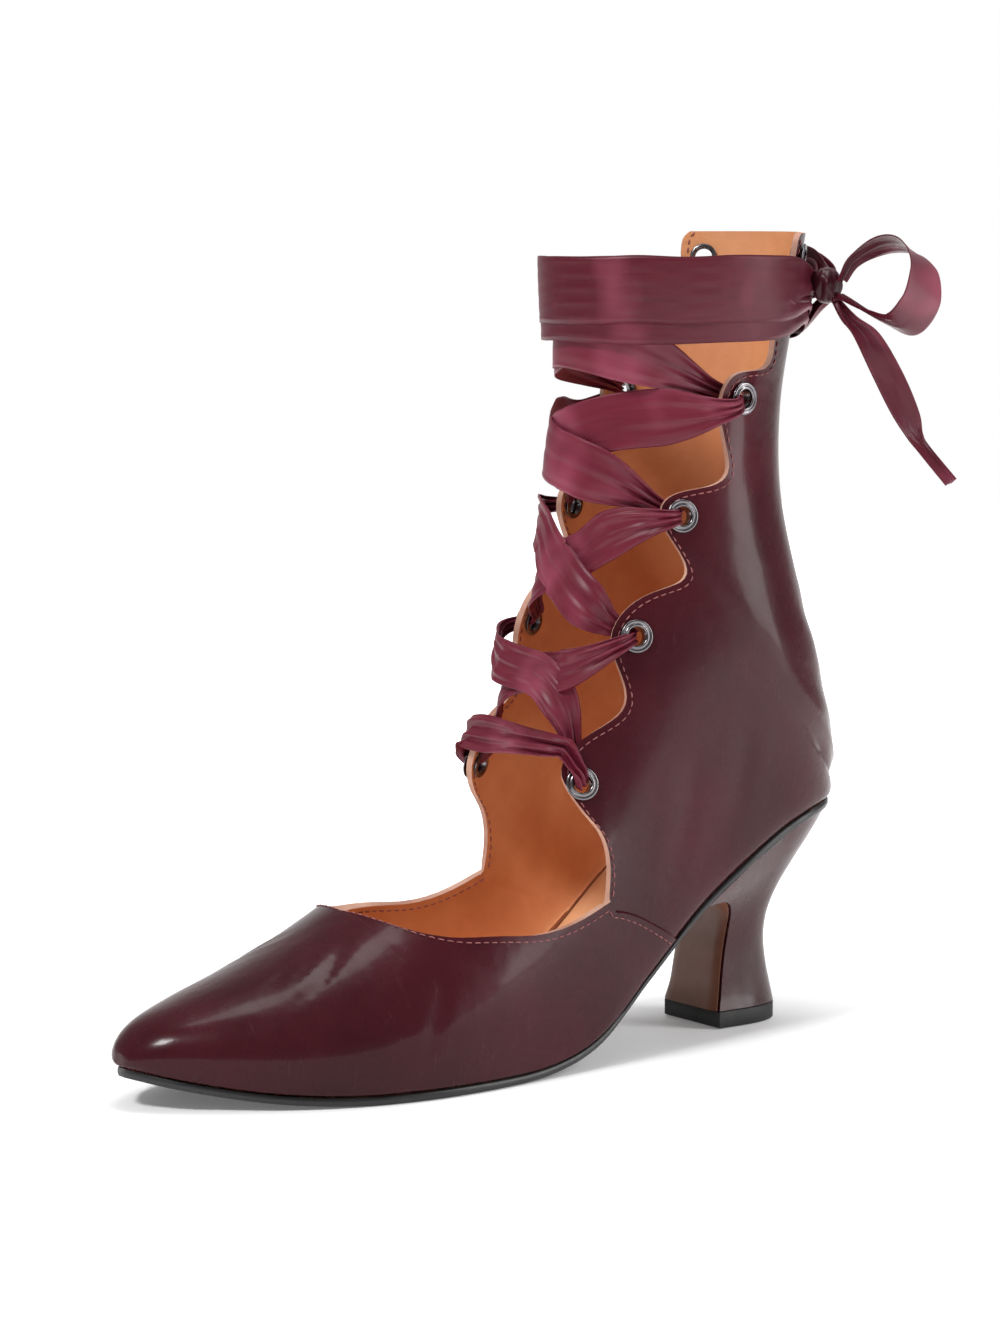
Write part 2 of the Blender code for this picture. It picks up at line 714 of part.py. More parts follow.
def heel_ring(level):
    """One ring of the heel block, opened out towards the seat by its flare."""
    levels = column(HEEL_RINGS, 0)
    back, breast, wide, flare = (
        float(smooth(levels, column(HEEL_RINGS, k), level)) for k in range(1, 5)
    )
    ring = []
    for x, y in d_plan(12):
        stem_x, stem_y = lift_point(x, y, back, breast, wide)
        seat_x, seat_y = seat_point(x, y)
        across = stem_x + (seat_x - stem_x) * flare
        forward = stem_y + (seat_y - stem_y) * flare
        bottom = LIFT_HEIGHT + FIT
        top = float(sole_under(forward)) - FIT
        ring.append((across, -forward, bottom + (top - bottom) * level))
    return ring


def loft(rings):
    """Closed body through rings of equal count, flat at both ends."""
    mesh = bmesh.new()
    layers = [[mesh.verts.new(point) for point in ring] for ring in rings]
    count = len(layers[0])
    for first, second in zip(layers, layers[1:]):
        for k in range(count):
            mesh.faces.new((first[k], first[(k + 1) % count], second[(k + 1) % count], second[k]))
    for cap in (layers[0][::-1], layers[-1]):
        bmesh.ops.triangulate(mesh, faces=[mesh.faces.new(cap)])
    bmesh.ops.recalc_face_normals(mesh, faces=mesh.faces)
    return mesh


def make_heel(parts):
    levels = [0.0, 0.1, 0.2, 0.3, 0.4, 0.5, 0.58, 0.66, 0.74, 0.82, 0.9, 0.96, 1.0]
    block = finish(loft([heel_ring(level) for level in levels]), "heel", parts,
                   material("burgundy", 0.28))
    rings = []
    for level in levels[:10]:
        ring = heel_ring(level)
        left, right = ring[0], ring[4]
        front = left[1] - FIT
        edge = FIT + BREAST_COVER / 2
        corners = ((left[0] + edge, 0), (right[0] - edge, 0), (right[0] - edge, 1), (left[0] + edge, 1))
        rings.append([(x, front - BREAST_COVER * deep, left[2]) for x, deep in corners])
    cover = finish(loft(rings), "heel_breast", parts, material("breast", 0.45))
    plan = [lift_point(x, y, *HEEL_RINGS[0][1:4]) for x, y in d_plan(12)]
    tread = [[(x, -y, height) for x, y in plan] for height in (0.0, LIFT_HEIGHT)]
    lift = finish(loft(tread), "top_piece", parts, material("black", 0.6))
    return [block, cover, lift]


# Ribbon


def signed_point(section, turn, lift):
    """A place on the last lifted off it. turn runs from -180 on the inner half
    to 180 on the outer one, with 0 on the crest, and may run on past 180."""
    turn = turn - 360.0 if turn > 180.0 else turn
    side = 1 if turn >= 0 else -1
    return off_last(section, abs(turn), side, lift)


def strip(path, across, widths):
    """A ribbon as a closed band: its middle line, width directions and widths."""
    path, across = np.asarray(path), np.asarray(across)
    tangent = np.gradient(path, axis=0)
    tangent /= np.linalg.norm(tangent, axis=1, keepdims=True)
    across = across - tangent * np.sum(across * tangent, axis=1, keepdims=True)
    across /= np.linalg.norm(across, axis=1, keepdims=True)
    face = np.cross(tangent, across)
    rings = []
    for point, width_way, face_way, width in zip(path, across, face, widths):
        ring = []
        for u, v in ((-1, -1), (0, -1), (1, -1), (1, 1), (0, 1), (-1, 1)):
            ring.append(point + width_way * (u * width / 2) + face_way * (v * RIBBON_THICKNESS / 2))
        rings.append(ring)
    return loft(rings)


OUTSIDE = EYELET_SEAT + EYELET_FLANGE + FIT + 3 * EYELET_SAG + RIBBON_THICKNESS / 2
INSIDE = -(UPPER_WALL + EYELET_SEAT + EYELET_SAG + EYELET_FLANGE + FIT + RIBBON_THICKNESS / 2)
OVER_THE_GAP = -0.0008  # lift of the ribbons where they cross the open front


def ribbon_on_last(sections, turns, lifts, widths):
    """A ribbon that lies along the last's surface, as a closed band."""
    middle = np.array([signed_point(s, t, 0.0) for s, t in zip(sections, turns)])
    tangent = np.gradient(middle, axis=0)
    rings = []
    for k, (section, turn) in enumerate(zip(sections, turns)):
        here = middle[k]
        d_section = (signed_point(section + 0.1, turn, 0.0) - here) / 0.1
        d_turn = (signed_point(section, turn + 2.0, 0.0) - here) / 2.0
        across = np.cross(np.cross(d_section, d_turn), tangent[k])
        across /= np.linalg.norm(across)
        steps = np.stack([d_section, d_turn], 1)
        move = np.linalg.lstsq(steps, across * widths[k] / 2, rcond=None)[0]
        ring = []
        for u, v in ((-1, -1), (0, -1), (1, -1), (1, 1), (0, 1), (-1, 1)):
            lift = lifts[k] + v * RIBBON_THICKNESS / 2
            ring.append(signed_point(section + u * move[0], turn + u * move[1], lift))
        rings.append(ring)
    return loft(rings)


def lace_run(number, side, count=16):
    """A run of ribbon from inside the lower eyelet on one side to outside the
    next eyelet on the other. The run from the outer side passes in front."""
    dip, skew, sink, front, behind, wide = CROSSINGS[number]
    share = np.linspace(0.0, 1.0, count + 1)
    first, last = EYELETS[number], EYELETS[number + 1]
    turn = side * (first[1] + (-last[1] - first[1]) * share)
    straight = first[0] + (last[0] - first[0]) * share
    near = np.clip((share if side > 0 else 1 - share) / 0.65, 0.0, 1.0)
    bend = (front if side > 0 else behind) * np.sin(math.pi * near)
    section = straight - dip * np.sin(math.pi * share**skew) + bend
    middle = OVER_THE_GAP + (FIT if side > 0 else 0.0)
    lift = np.interp(share, (0.14, 0.32, 0.68, 0.86), (INSIDE, middle, middle, OUTSIDE))
    over_gap = np.clip((share - 0.10) / 0.62, 0.0, 1.0)
    lift = lift - sink * RIBBON_WIDTH * np.sin(math.pi * over_gap)
    near_end = np.clip(np.minimum(share, 1 - share) / 0.30, 0.0, 1.0)
    opened = near_end**2 * (3 - 2 * near_end)
    widths = GATHERED_WIDTH + (wide * RIBBON_WIDTH - GATHERED_WIDTH) * opened
    return ribbon_on_last(section, turn, lift, widths)


def lace_bar():
    """The lowest run: over the outer face of each quarter to its front edge, and
    straight across between the edges."""
    section, turn = EYELETS[0]
    turns = np.linspace(turn, BAR_EDGE, 4)
    outer = [signed_point(section, t, OUTSIDE) for t in turns]
    inner = [signed_point(section, -t, OUTSIDE) for t in turns[::-1]]
    across = [signed_point(section + 0.1, t, OUTSIDE) - p for t, p in zip(turns, outer)]
    across += [signed_point(section + 0.1, -t, OUTSIDE) - p for t, p in zip(turns[::-1], inner)]
    marks = np.concatenate([np.linspace(0.0, 0.16, 4), np.linspace(0.84, 1.0, 4)])
    share = np.concatenate([marks[:4], np.linspace(0.16, 0.84, 9)[1:-1], marks[4:]])
    path = np.stack([np.interp(share, marks, np.array(outer + inner)[:, k]) for k in range(3)], -1)
    ways = np.stack([np.interp(share, marks, np.array(across)[:, k]) for k in range(3)], -1)
    widths = smooth(column(BAR_WIDTHS, 0), column(BAR_WIDTHS, 1), share) * RIBBON_WIDTH
    return strip(path, ways, widths)


def joined(name, meshes, parts, cutters, look):
    """The first mesh with the others joined to it."""
    made = finish(meshes[0], name, parts, look)
    for number, mesh in enumerate(meshes[1:]):
        other = finish(mesh, f"{name}_joined_{number}", cutters, look)
        other.hide_render = True
        other.display_type = "WIRE"
        join = made.modifiers.new("joined", "BOOLEAN")
        join.operation = "UNION"
        join.solver = "EXACT"
        join.object = other
    return made


def level_ring(height, lift, count=40):
    """Points round the leg at one height, lifted off it."""
    sections = np.linspace(SEAT_SECTION, TOP_SECTION, 90)
    ring = []
    for k in range(count):
        turn = -180.0 + 360.0 * k / count
        side = 1 if turn >= 0 else -1
        heights = last_point(sections, abs(turn), side)[:, 2]
        section = np.interp(height, heights, sections)
        point = last_point(section, abs(turn), side)
        out = last_normal(min(section, TOP_SECTION - 0.05), min(max(abs(turn), 2), 178), side)
        out[2] = 0.0
        ring.append(point + out / np.linalg.norm(out) * lift)
    return np.array(ring)


def wrap(top, lift):
    """A ribbon wound level round the leg, as a closed band."""
    mesh = bmesh.new()
    levels = (top, top - RIBBON_WIDTH / 2, top - RIBBON_WIDTH)
    outer = [level_ring(height, lift + RIBBON_THICKNESS / 2) for height in levels]
    inner = [level_ring(height, lift - RIBBON_THICKNESS / 2) for height in reversed(levels)]
    rings = [[mesh.verts.new(point) for point in ring] for ring in outer + inner]
    count = len(rings[0])
    for j, ring in enumerate(rings):
        below = rings[(j + 1) % len(rings)]
        for k in range(count):
            mesh.faces.new((ring[k], ring[(k + 1) % count], below[(k + 1) % count], below[k]))
    bmesh.ops.recalc_face_normals(mesh, faces=mesh.faces)
    return mesh


UNDER_WRAP = OUTSIDE + RIBBON_THICKNESS + FIT
OVER_WRAP = UNDER_WRAP + 0.5 * RIBBON_THICKNESS


def make_laces(parts, cutters):
    look = material("satin", 0.3)
    made = [finish(lace_bar(), "lace_bar", parts, look)]
    for number in range(len(CROSSINGS)):
        runs = [lace_run(number, side) for side in (1, -1)]
        made.append(joined(f"lace_cross_{number + 1}", runs, parts, cutters, look))
    top = SHAFT_HEIGHT - WRAP_DROP
    wraps = [wrap(top - WRAP_STEP, UNDER_WRAP), wrap(top, OVER_WRAP)]
    made.append(joined("lace_wraps", wraps, parts, cutters, look))
    return made


def knot_centre():
    section, turn = KNOT_PLACE
    lift = OUTSIDE + 2.4 * RIBBON_THICKNESS + 2 * FIT + KNOT_SIZE[1]
    return np.array(signed_point(section, turn, lift))


def bow_strip(name, parts, route, tilt):
    """The bow's outer loop or end, on a smooth curve through its route."""
    heading = math.radians(OUTER_HEADING)
    out = np.array([math.cos(heading), math.sin(heading), 0.0])
    level = np.array([out[1], -out[0], 0.0])
    tilt = math.radians(tilt)
    across = level * math.cos(tilt) + np.array([0.0, 0.0, 1.0]) * math.sin(tilt)
    steps = np.arange(len(route))
    fine = np.linspace(0, len(route) - 1, 3 * (len(route) - 1) + 1)
    away, up, wide = (smooth(steps, column(route, k), fine) for k in range(3))
    path = knot_centre() + BOW_REACH * (away[:, None] * out)
    path[:, 2] += BOW_REACH * up
    widths = np.maximum(wide * RIBBON_WIDTH, TIP_WIDTH)
    band = strip(path, np.tile(across, (len(fine), 1)), widths)
    return finish(band, name, parts, material("satin", 0.3))


def back_strip(name, parts, rows, upright):
    """A ribbon round the back of the leg. upright keeps its width along the
    leg, as in a loop; otherwise the ribbon turns with its route."""
    steps = np.arange(len(rows))
    fine = np.linspace(0, len(rows) - 1, 2 * (len(rows) - 1) + 1)
    section, turn, over, wide = (smooth(steps, column(rows, k), fine) for k in range(4))
    lift = OVER_WRAP + RIBBON_THICKNESS + FIT + LOOP_DEPTH * over
    place = list(zip(section, turn, lift))
    path = np.array([signed_point(s, t, up) for s, t, up in place])
    upward = np.array([signed_point(s + 0.05, t, up) for s, t, up in place]) - path
    outward = np.array([signed_point(s, t, up + FIT) for s, t, up in place]) - path
    across = upward if upright else np.cross(outward, np.gradient(path, axis=0))
    widths = np.maximum(wide * RIBBON_WIDTH, TIP_WIDTH)
    return finish(strip(path, across, widths), name, parts, material("satin", 0.3))


def make_bow(parts):
    section, turn = KNOT_PLACE
    out = Vector(last_normal(section, turn, 1))
    up = Vector((0.0, 0.0, 1.0))
    out = (out - up * out.dot(up)).normalized()
    along = out.cross(up)
    turn_to = Matrix((along, out, up)).transposed().to_4x4()
    mesh = bmesh.new()
    sizes = Matrix.Diagonal((*KNOT_SIZE, 1.0))
    place = Matrix.Translation(Vector(knot_centre())) @ turn_to @ sizes
    bmesh.ops.create_uvsphere(mesh, u_segments=14, v_segments=8, radius=1.0, matrix=place)
    made = [finish(mesh, "lace_knot", parts, material("satin", 0.3))]
    loop = (OUTER_LOOP_FEET[0], *LOOP_ROUTE, OUTER_LOOP_FEET[1])
    made.append(bow_strip("lace_loop_outer", parts, loop, LOOP_TILT))
    made.append(bow_strip("lace_end_outer", parts, (OUTER_END_FOOT, *END_ROUTE), END_TILT))
    made.append(back_strip("lace_loop_back", parts, BACK_LOOP, True))
    made.append(back_strip("lace_end_back", parts, BACK_END, False))
    return made


def box_of(objects):
    """Lowest and highest corners of the finished objects."""
    bpy.context.view_layer.update()
    graph = bpy.context.evaluated_depsgraph_get()
    corners = []
    for thing in objects:
        whole = thing.evaluated_get(graph)
        mesh = whole.to_mesh()
        points = np.empty(3 * len(mesh.vertices), np.float32)
        mesh.vertices.foreach_get("co", points)
        turned = np.array(whole.matrix_world)
        corners.append(points.reshape(-1, 3) @ turned[:3, :3].T + turned[:3, 3])
        whole.to_mesh_clear()
    corners = np.concatenate(corners)
    return corners.min(axis=0), corners.max(axis=0)


def stand_on_origin(pieces, others, parts):
    """Puts the middle of the shoe's box, without the bow, over the origin."""
    low, high = box_of(pieces)
    frame = bpy.data.objects.new("shoe", None)
    parts.objects.link(frame)
    frame.location = (-(low[0] + high[0]) / 2, -(low[1] + high[1]) / 2, 0.0)
    for thing in pieces + others:
        thing.parent = frame


def main():
    clear_scene()
    parts = new_collection("lace_up_heel")
    cutters = new_collection("cutters")
    pieces = [make_upper(parts, cutters)]
    pieces.append(sole_slab("outsole", parts, material("black", 0.55), 0.0, 0.0, SOLE_THICKNESS))
    insole_inset = SOLE_EDGE + UPPER_WALL + 2 * FIT
    pieces.append(
        sole_slab("insole", parts, material("tan", 0.45), insole_inset,
                  SOLE_THICKNESS + FIT, INSOLE_THICKNESS, toe_gap=0.006, count=26)
    )
    pieces += make_heel(parts)
    pieces += make_eyelets(parts)
    pieces += make_laces(parts, cutters)
    bow = make_bow(parts)
    stand_on_origin(pieces, bow + list(cutters.objects), parts)


main()
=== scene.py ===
# A women's lace-up heel, the left shoe of a pair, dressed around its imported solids
import math

import bmesh
import bpy
import numpy as np
from mathutils import Matrix, Vector


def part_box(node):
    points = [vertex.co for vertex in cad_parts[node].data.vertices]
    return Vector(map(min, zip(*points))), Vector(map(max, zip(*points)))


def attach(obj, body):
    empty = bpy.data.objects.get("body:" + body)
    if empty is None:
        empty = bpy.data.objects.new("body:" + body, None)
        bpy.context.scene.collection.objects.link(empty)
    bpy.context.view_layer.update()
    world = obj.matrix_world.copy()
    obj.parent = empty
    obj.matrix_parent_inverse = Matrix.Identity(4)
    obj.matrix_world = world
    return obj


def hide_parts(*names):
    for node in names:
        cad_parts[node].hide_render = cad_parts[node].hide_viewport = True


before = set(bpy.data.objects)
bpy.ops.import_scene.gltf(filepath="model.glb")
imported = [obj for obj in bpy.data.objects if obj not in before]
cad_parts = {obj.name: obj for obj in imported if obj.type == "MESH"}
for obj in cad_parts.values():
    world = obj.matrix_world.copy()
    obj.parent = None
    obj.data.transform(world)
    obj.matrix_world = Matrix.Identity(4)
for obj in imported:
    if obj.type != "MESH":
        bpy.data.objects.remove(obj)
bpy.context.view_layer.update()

# Sizes in metres, as in the part's source
shoe = {
    "length": 0.250,
    "ballWidth": 0.078,
    "heelHeight": 0.068,
    "instepHeight": 0.089,
    "shaftHeight": 0.245,
    "shaftWidth": 0.069,
    "wall": 0.0018,
    "vampStep": 0.0009,  # the vamp lies over the quarters by this much
    "seamWidth": 0.0008,
    "soleThickness": 0.0025,
    "soleEdge": 0.0009,
    "heelRound": 0.026,
    "toeRound": 0.012,
    "breastPlace": 0.046,
    "fit": 0.0003,
    "archFit": 0.0005,
}

# Underside of the sole: place along the shoe and rise, shares of length and heel height
soleLine = (
    (0.000, 1.000), (0.080, 0.958), (0.180, 0.784), (0.250, 0.605), (0.340, 0.335),
    (0.440, 0.088), (0.520, 0.010), (0.560, 0.000), (0.640, 0.000), (0.760, 0.000),
    (0.820, 0.010), (0.900, 0.045), (0.960, 0.092), (1.000, 0.130),
)

# Plan of the sole: place, lean to the outer side and half width
outline = (
    (0.000, 0.000, 0.354), (0.100, 0.000, 0.342), (0.180, 0.004, 0.354),
    (0.250, 0.008, 0.344), (0.340, 0.030, 0.348), (0.440, 0.055, 0.400),
    (0.540, 0.050, 0.448), (0.620, 0.045, 0.482), (0.700, 0.040, 0.480),
    (0.780, 0.030, 0.434), (0.860, 0.008, 0.342), (0.930, -0.028, 0.228),
    (0.976, -0.046, 0.148), (1.000, -0.052, 0.100),
)

# Sections of the last from the toe back: base, crest, lift, axis, outer, inner, depth, crown
footSections = (
    (1.000, 1.000, 0.015, -0.052, 0.000, 0.000, 0.62, 2.00),
    (0.992, 0.990, 0.081, -0.051, 0.087, 0.087, 0.62, 2.10),
    (0.964, 0.962, 0.161, -0.045, 0.180, 0.173, 0.64, 2.10),
    (0.912, 0.908, 0.249, -0.032, 0.295, 0.282, 0.66, 2.10),
    (0.844, 0.836, 0.345, -0.013, 0.410, 0.372, 0.70, 2.10),
    (0.764, 0.752, 0.456, 0.006, 0.494, 0.436, 0.72, 2.10),
    (0.684, 0.672, 0.580, 0.013, 0.519, 0.462, 0.74, 2.10),
    (0.608, 0.600, 0.726, 0.013, 0.510, 0.450, 0.74, 2.15),
    (0.520, 0.536, 0.876, 0.013, 0.478, 0.420, 0.74, 2.20),
    (0.428, 0.484, 1.035, 0.006, 0.450, 0.400, 0.70, 2.30),
    (0.332, 0.452, 1.210, 0.000, 0.418, 0.398, 0.64, 2.45),
)

# Sections of the leg: base, rise, crest, top, wide, depth, crown
legSections = (
    (0.228, None, 0.424, 0.353, 0.464, 0.60, 2.55),
    (0.116, None, 0.404, 0.444, 0.471, 0.57, 2.55),
    (0.000, 0.000, 0.388, 0.530, 0.478, 0.55, 2.50),
    (-0.008, 0.069, 0.380, 0.605, 0.478, 0.53, 2.40),
    (0.016, 0.206, 0.376, 0.674, 0.460, 0.52, 2.30),
    (0.050, 0.361, 0.372, 0.742, 0.440, 0.50, 2.20),
    (0.078, 0.521, 0.372, 0.811, 0.432, 0.50, 2.10),
    (0.082, 0.682, 0.372, 0.877, 0.448, 0.50, 2.00),
    (0.066, 0.842, 0.372, 0.940, 0.480, 0.50, 2.00),
    (0.048, 1.000, 0.374, 1.000, 0.504, 0.50, 2.00),
)
seatSection = len(footSections) + 2
topSection = len(footSections) + len(legSections) - 1

# Eyelets from the vamp up: section number and turn in degrees from the crest
eyelets = ((9.50, 55.0), (11.65, 54.0), (14.40, 58.0), (17.60, 98.0), (19.00, 128.0), (19.68, 137.0))
throat = (
    (5.50, 0.0), (5.56, 14.0), (5.75, 31.0), (6.10, 45.0), (6.70, 58.0), (8.00, 73.0), (8.95, 82.0),
)
wingCorner = (9.38, 87.0)
wingHeel = 10.30  # where the wing seam meets the feather line
quarterFront = ((9.58, 82.0), (9.58, 73.0), (9.32, 60.0))
topCorner = ((19.92, 125.0), (20.00, 129.0))
lobe = {"margin": 0.0085, "depth": 0.0140}

liftLow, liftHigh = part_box("top_piece")
shift = np.array([(liftLow.x + liftHigh.x) / 2, liftLow.y + shoe["breastPlace"], 0.0])


def smooth(xs, ys, x):
    xs, ys = np.asarray(xs, float), np.asarray(ys, float)
    x = np.asarray(x, float)
    slopes = np.gradient(ys, xs)
    i = np.clip(np.searchsorted(xs, x) - 1, 0, len(xs) - 2)
    gap = xs[i + 1] - xs[i]
    t = np.clip((x - xs[i]) / gap, 0.0, 1.0)
    ends = (2 * t**3 - 3 * t**2 + 1) * ys[i] + (3 * t**2 - 2 * t**3) * ys[i + 1]
    turns = (t**3 - 2 * t**2 + t) * slopes[i] + (t**3 - t**2) * slopes[i + 1]
    return ends + gap * turns


def column(table, index):
    return [row[index] for row in table]


def eased(x):
    x = np.clip(x, 0.0, 1.0)
    return x * x * (3 - 2 * x)


def curve(table, index, x):  # one column of a table over its first
    return smooth(column(table, 0), column(table, index), x)


def traced(table, count):  # its columns, on a smooth curve through the rows
    steps = np.arange(len(table))
    at = np.linspace(0, len(table) - 1, count)
    return [smooth(steps, column(table, k), at) for k in range(len(table[0]))]


def soleUnder(forward):
    share = np.asarray(forward) / shoe["length"]
    return np.maximum(curve(soleLine, 1, share), 0.0) * shoe["heelHeight"]


def soleHalf(forward, inset=0.0):
    forward = np.asarray(forward, float)
    share = forward / shoe["length"]
    lean = curve(outline, 1, share) * shoe["ballWidth"]
    half = curve(outline, 2, share) * shoe["ballWidth"]
    fromBack = np.clip((forward - inset) / shoe["heelRound"], 0.0, 1.0)
    fromToe = np.clip((shoe["length"] - inset - forward) / shoe["toeRound"], 0.0, 1.0)
    rounding = np.sqrt((1 - (1 - fromBack) ** 2) * (1 - (1 - fromToe) ** 2))
    return lean, np.maximum(half - inset, 0.0) * rounding


def lastRows():
    floor = shoe["soleThickness"] + shoe["archFit"]
    seat = shoe["heelHeight"] + floor
    rise = shoe["shaftHeight"] - seat
    long, ball, leg = shoe["length"], shoe["ballWidth"], shoe["shaftWidth"]
    rows = []
    for base, crest, lift, axis, outer, inner, depth, crown in footSections:
        under = float(soleUnder(base * long)) + floor
        top = float(soleUnder(crest * long)) + floor + lift * shoe["instepHeight"]
        sides = (axis * ball, outer * ball, inner * ball)
        rows.append((base * long, under, crest * long, top, *sides, depth, crown))
    for base, share, crest, top, wide, depth, crown in legSections:
        under = float(soleUnder(base * long)) + floor if share is None else seat + share * rise
        sides = (0.0, wide * leg, wide * leg)
        rows.append((base * long, under, crest * long, seat + top * rise, *sides, depth, crown))
    return np.array(rows)


rows = lastRows()


def lastPoint(section, turn, side):
    section, turn, side = np.broadcast_arrays(
        np.asarray(section, float), np.radians(np.asarray(turn, float)), np.asarray(side, float)
    )
    steps = np.arange(len(rows))
    base, under, crest, top, axis, outer, inner, depth, crown = (
        smooth(steps, rows[:, k], section) for k in range(rows.shape[1])
    )
    onSeat = section <= seatSection
    under = np.where(onSeat, soleUnder(base) + shoe["soleThickness"] + shoe["archFit"], under)
    lean, half = soleHalf(base, shoe["soleEdge"])
    foot = np.where(onSeat, lean + side * half, 0.0)
    widest = axis + side * np.where(side > 0, outer, inner)
    run, fall = base - crest, under - top
    sine, cosine = np.abs(np.sin(turn)), np.cos(turn)
    upperHalf = cosine >= 0
    power = np.where(upperHalf, crown, 2.0)
    down = np.abs(cosine) ** (2 / power)
    out = sine ** (2 / power)
    share = np.where(upperHalf, depth * (1 - down), depth + (1 - depth) * down)
    across = np.where(upperHalf, axis + (widest - axis) * out, foot + (widest - foot) * out)
    return np.stack([across, -(crest + run * share), top + fall * share], -1) + shift


def lastNormal(section, turn, side):
    section, turn, side = np.broadcast_arrays(
        np.asarray(section, float), np.asarray(turn, float), np.asarray(side, float)
    )
    near = np.clip(turn, 2.0, 178.0)
    along = lastPoint(section + 0.02, near, side) - lastPoint(section - 0.02, near, side)
    roundIt = lastPoint(section, near + 1.0, side) - lastPoint(section, near - 1.0, side)
    normal = np.cross(roundIt, along) * side[..., None]
    middle = (turn < 0.01) | ((turn > 179.99) & (section > seatSection))
    normal[..., 0] = np.where(middle, 0.0, normal[..., 0])
    return normal / np.maximum(np.linalg.norm(normal, axis=-1, keepdims=True), 1e-12)


def onShoe(section, turn, lift=0.0):  # turn is below zero on the inner half
    side = np.where(np.asarray(turn) >= 0, 1.0, -1.0)
    point = lastPoint(section, np.abs(turn), side)
    return point + lastNormal(section, np.abs(turn), side) * np.asarray(lift)[..., None]


def unit(vectors):
    return vectors / np.maximum(np.linalg.norm(vectors, axis=-1, keepdims=True), 1e-12)


def lengths(path):
    return np.concatenate([[0.0], np.cumsum(np.linalg.norm(np.diff(path, axis=0), axis=1))])


def softened(line, kept=0, passes=6):  # the same line without its kinks
    line = np.array(line)
    for _ in range(passes):
        moved = line.copy()
        moved[1:-1] = 0.25 * line[:-2] + 0.5 * line[1:-1] + 0.25 * line[2:]
        moved[kept] = line[kept]
        line = moved
    return line


def wavy(count, waves, seed):  # a slow seeded wave between -1 and 1
    dice = np.random.default_rng(seed)
    marks = dice.uniform(-1, 1, waves + 1)
    return smooth(np.arange(waves + 1), marks, np.linspace(0, waves, count))


# Meshes


def gridFaces(rowCount, columnCount, closed=False):
    faces = []
    for r in range(rowCount - 1):
        for c in range(columnCount if closed else columnCount - 1):
            d = (c + 1) % columnCount
            here, ahead = r * columnCount, (r + 1) * columnCount
            faces.append((here + c, here + d, ahead + d, ahead + c))
    return faces


def meshPiece(name, points, faces, looks, uv=None, smoothShading=True):
    data = bpy.data.meshes.new(name)
    data.from_pydata([tuple(p) for p in np.asarray(points).reshape(-1, 3)], [], faces)
    for look in looks:
        data.materials.append(look)
    if uv is not None:
        layer = data.uv_layers.new(name="weave")
        uv = np.asarray(uv, float).reshape(-1, 2)
        corners = np.empty(len(data.loops), int)
        data.loops.foreach_get("vertex_index", corners)
        layer.data.foreach_set("uv", uv[corners].ravel())
    data.update()
    if smoothShading:
        data.shade_smooth()
    made = bpy.data.objects.new(name, data)
    bpy.context.scene.collection.objects.link(made)
    return made


def applied(piece):  # its modifiers worked into the mesh
    bpy.context.view_layer.update()
    graph = bpy.context.evaluated_depsgraph_get()
    mesh = bpy.data.meshes.new_from_object(piece.evaluated_get(graph))
    piece.modifiers.clear()
    piece.data = mesh
    return piece


def seat(piece, slot, *nodes):
    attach(piece, "root")
    if nodes:
        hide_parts(*nodes)
    return piece


def turnedOut(piece, merge=0.0):  # its faces outward, points closer than merge joined first
    work = bmesh.new()
    work.from_mesh(piece.data)
    if merge:
        bmesh.ops.remove_doubles(work, verts=work.verts, dist=merge)
    bmesh.ops.recalc_face_normals(work, faces=work.faces)
    work.to_mesh(piece.data)
    work.free()
    return piece


def loftPiece(name, rings, looks, caps=True):
    rings = np.asarray(rings)
    count = rings.shape[1]
    faces = gridFaces(rings.shape[0], count, closed=True)
    if caps:
        faces.append(tuple(range(count))[::-1])
        faces.append(tuple((rings.shape[0] - 1) * count + k for k in range(count)))
    return turnedOut(meshPiece(name, rings, faces, looks))


# Shader values as Python expressions


class Value:
    def __init__(self, paint, socket):
        self.paint, self.socket = paint, socket

    def math(self, operation, *others):
        return self.paint.node("ShaderNodeMath", {"operation": operation}, dict(enumerate((self, *others))))

    def __add__(self, other):
        return self.math("ADD", other)

    def __sub__(self, other):
        return self.math("SUBTRACT", other)

    def __rsub__(self, other):
        return self.paint.node("ShaderNodeMath", {"operation": "SUBTRACT"}, {0: other, 1: self})

    def __mul__(self, other):
        return self.math("MULTIPLY", other)

    def __truediv__(self, other):
        return self.math("DIVIDE", other)

    __radd__ = __add__
    __rmul__ = __mul__

    def clamp(self):
        return self.math("MINIMUM", 1.0).math("MAXIMUM", 0.0)

    def between(self, low, high):  # 0 at low and 1 at high
        return ((self - low) / (high - low)).clamp()


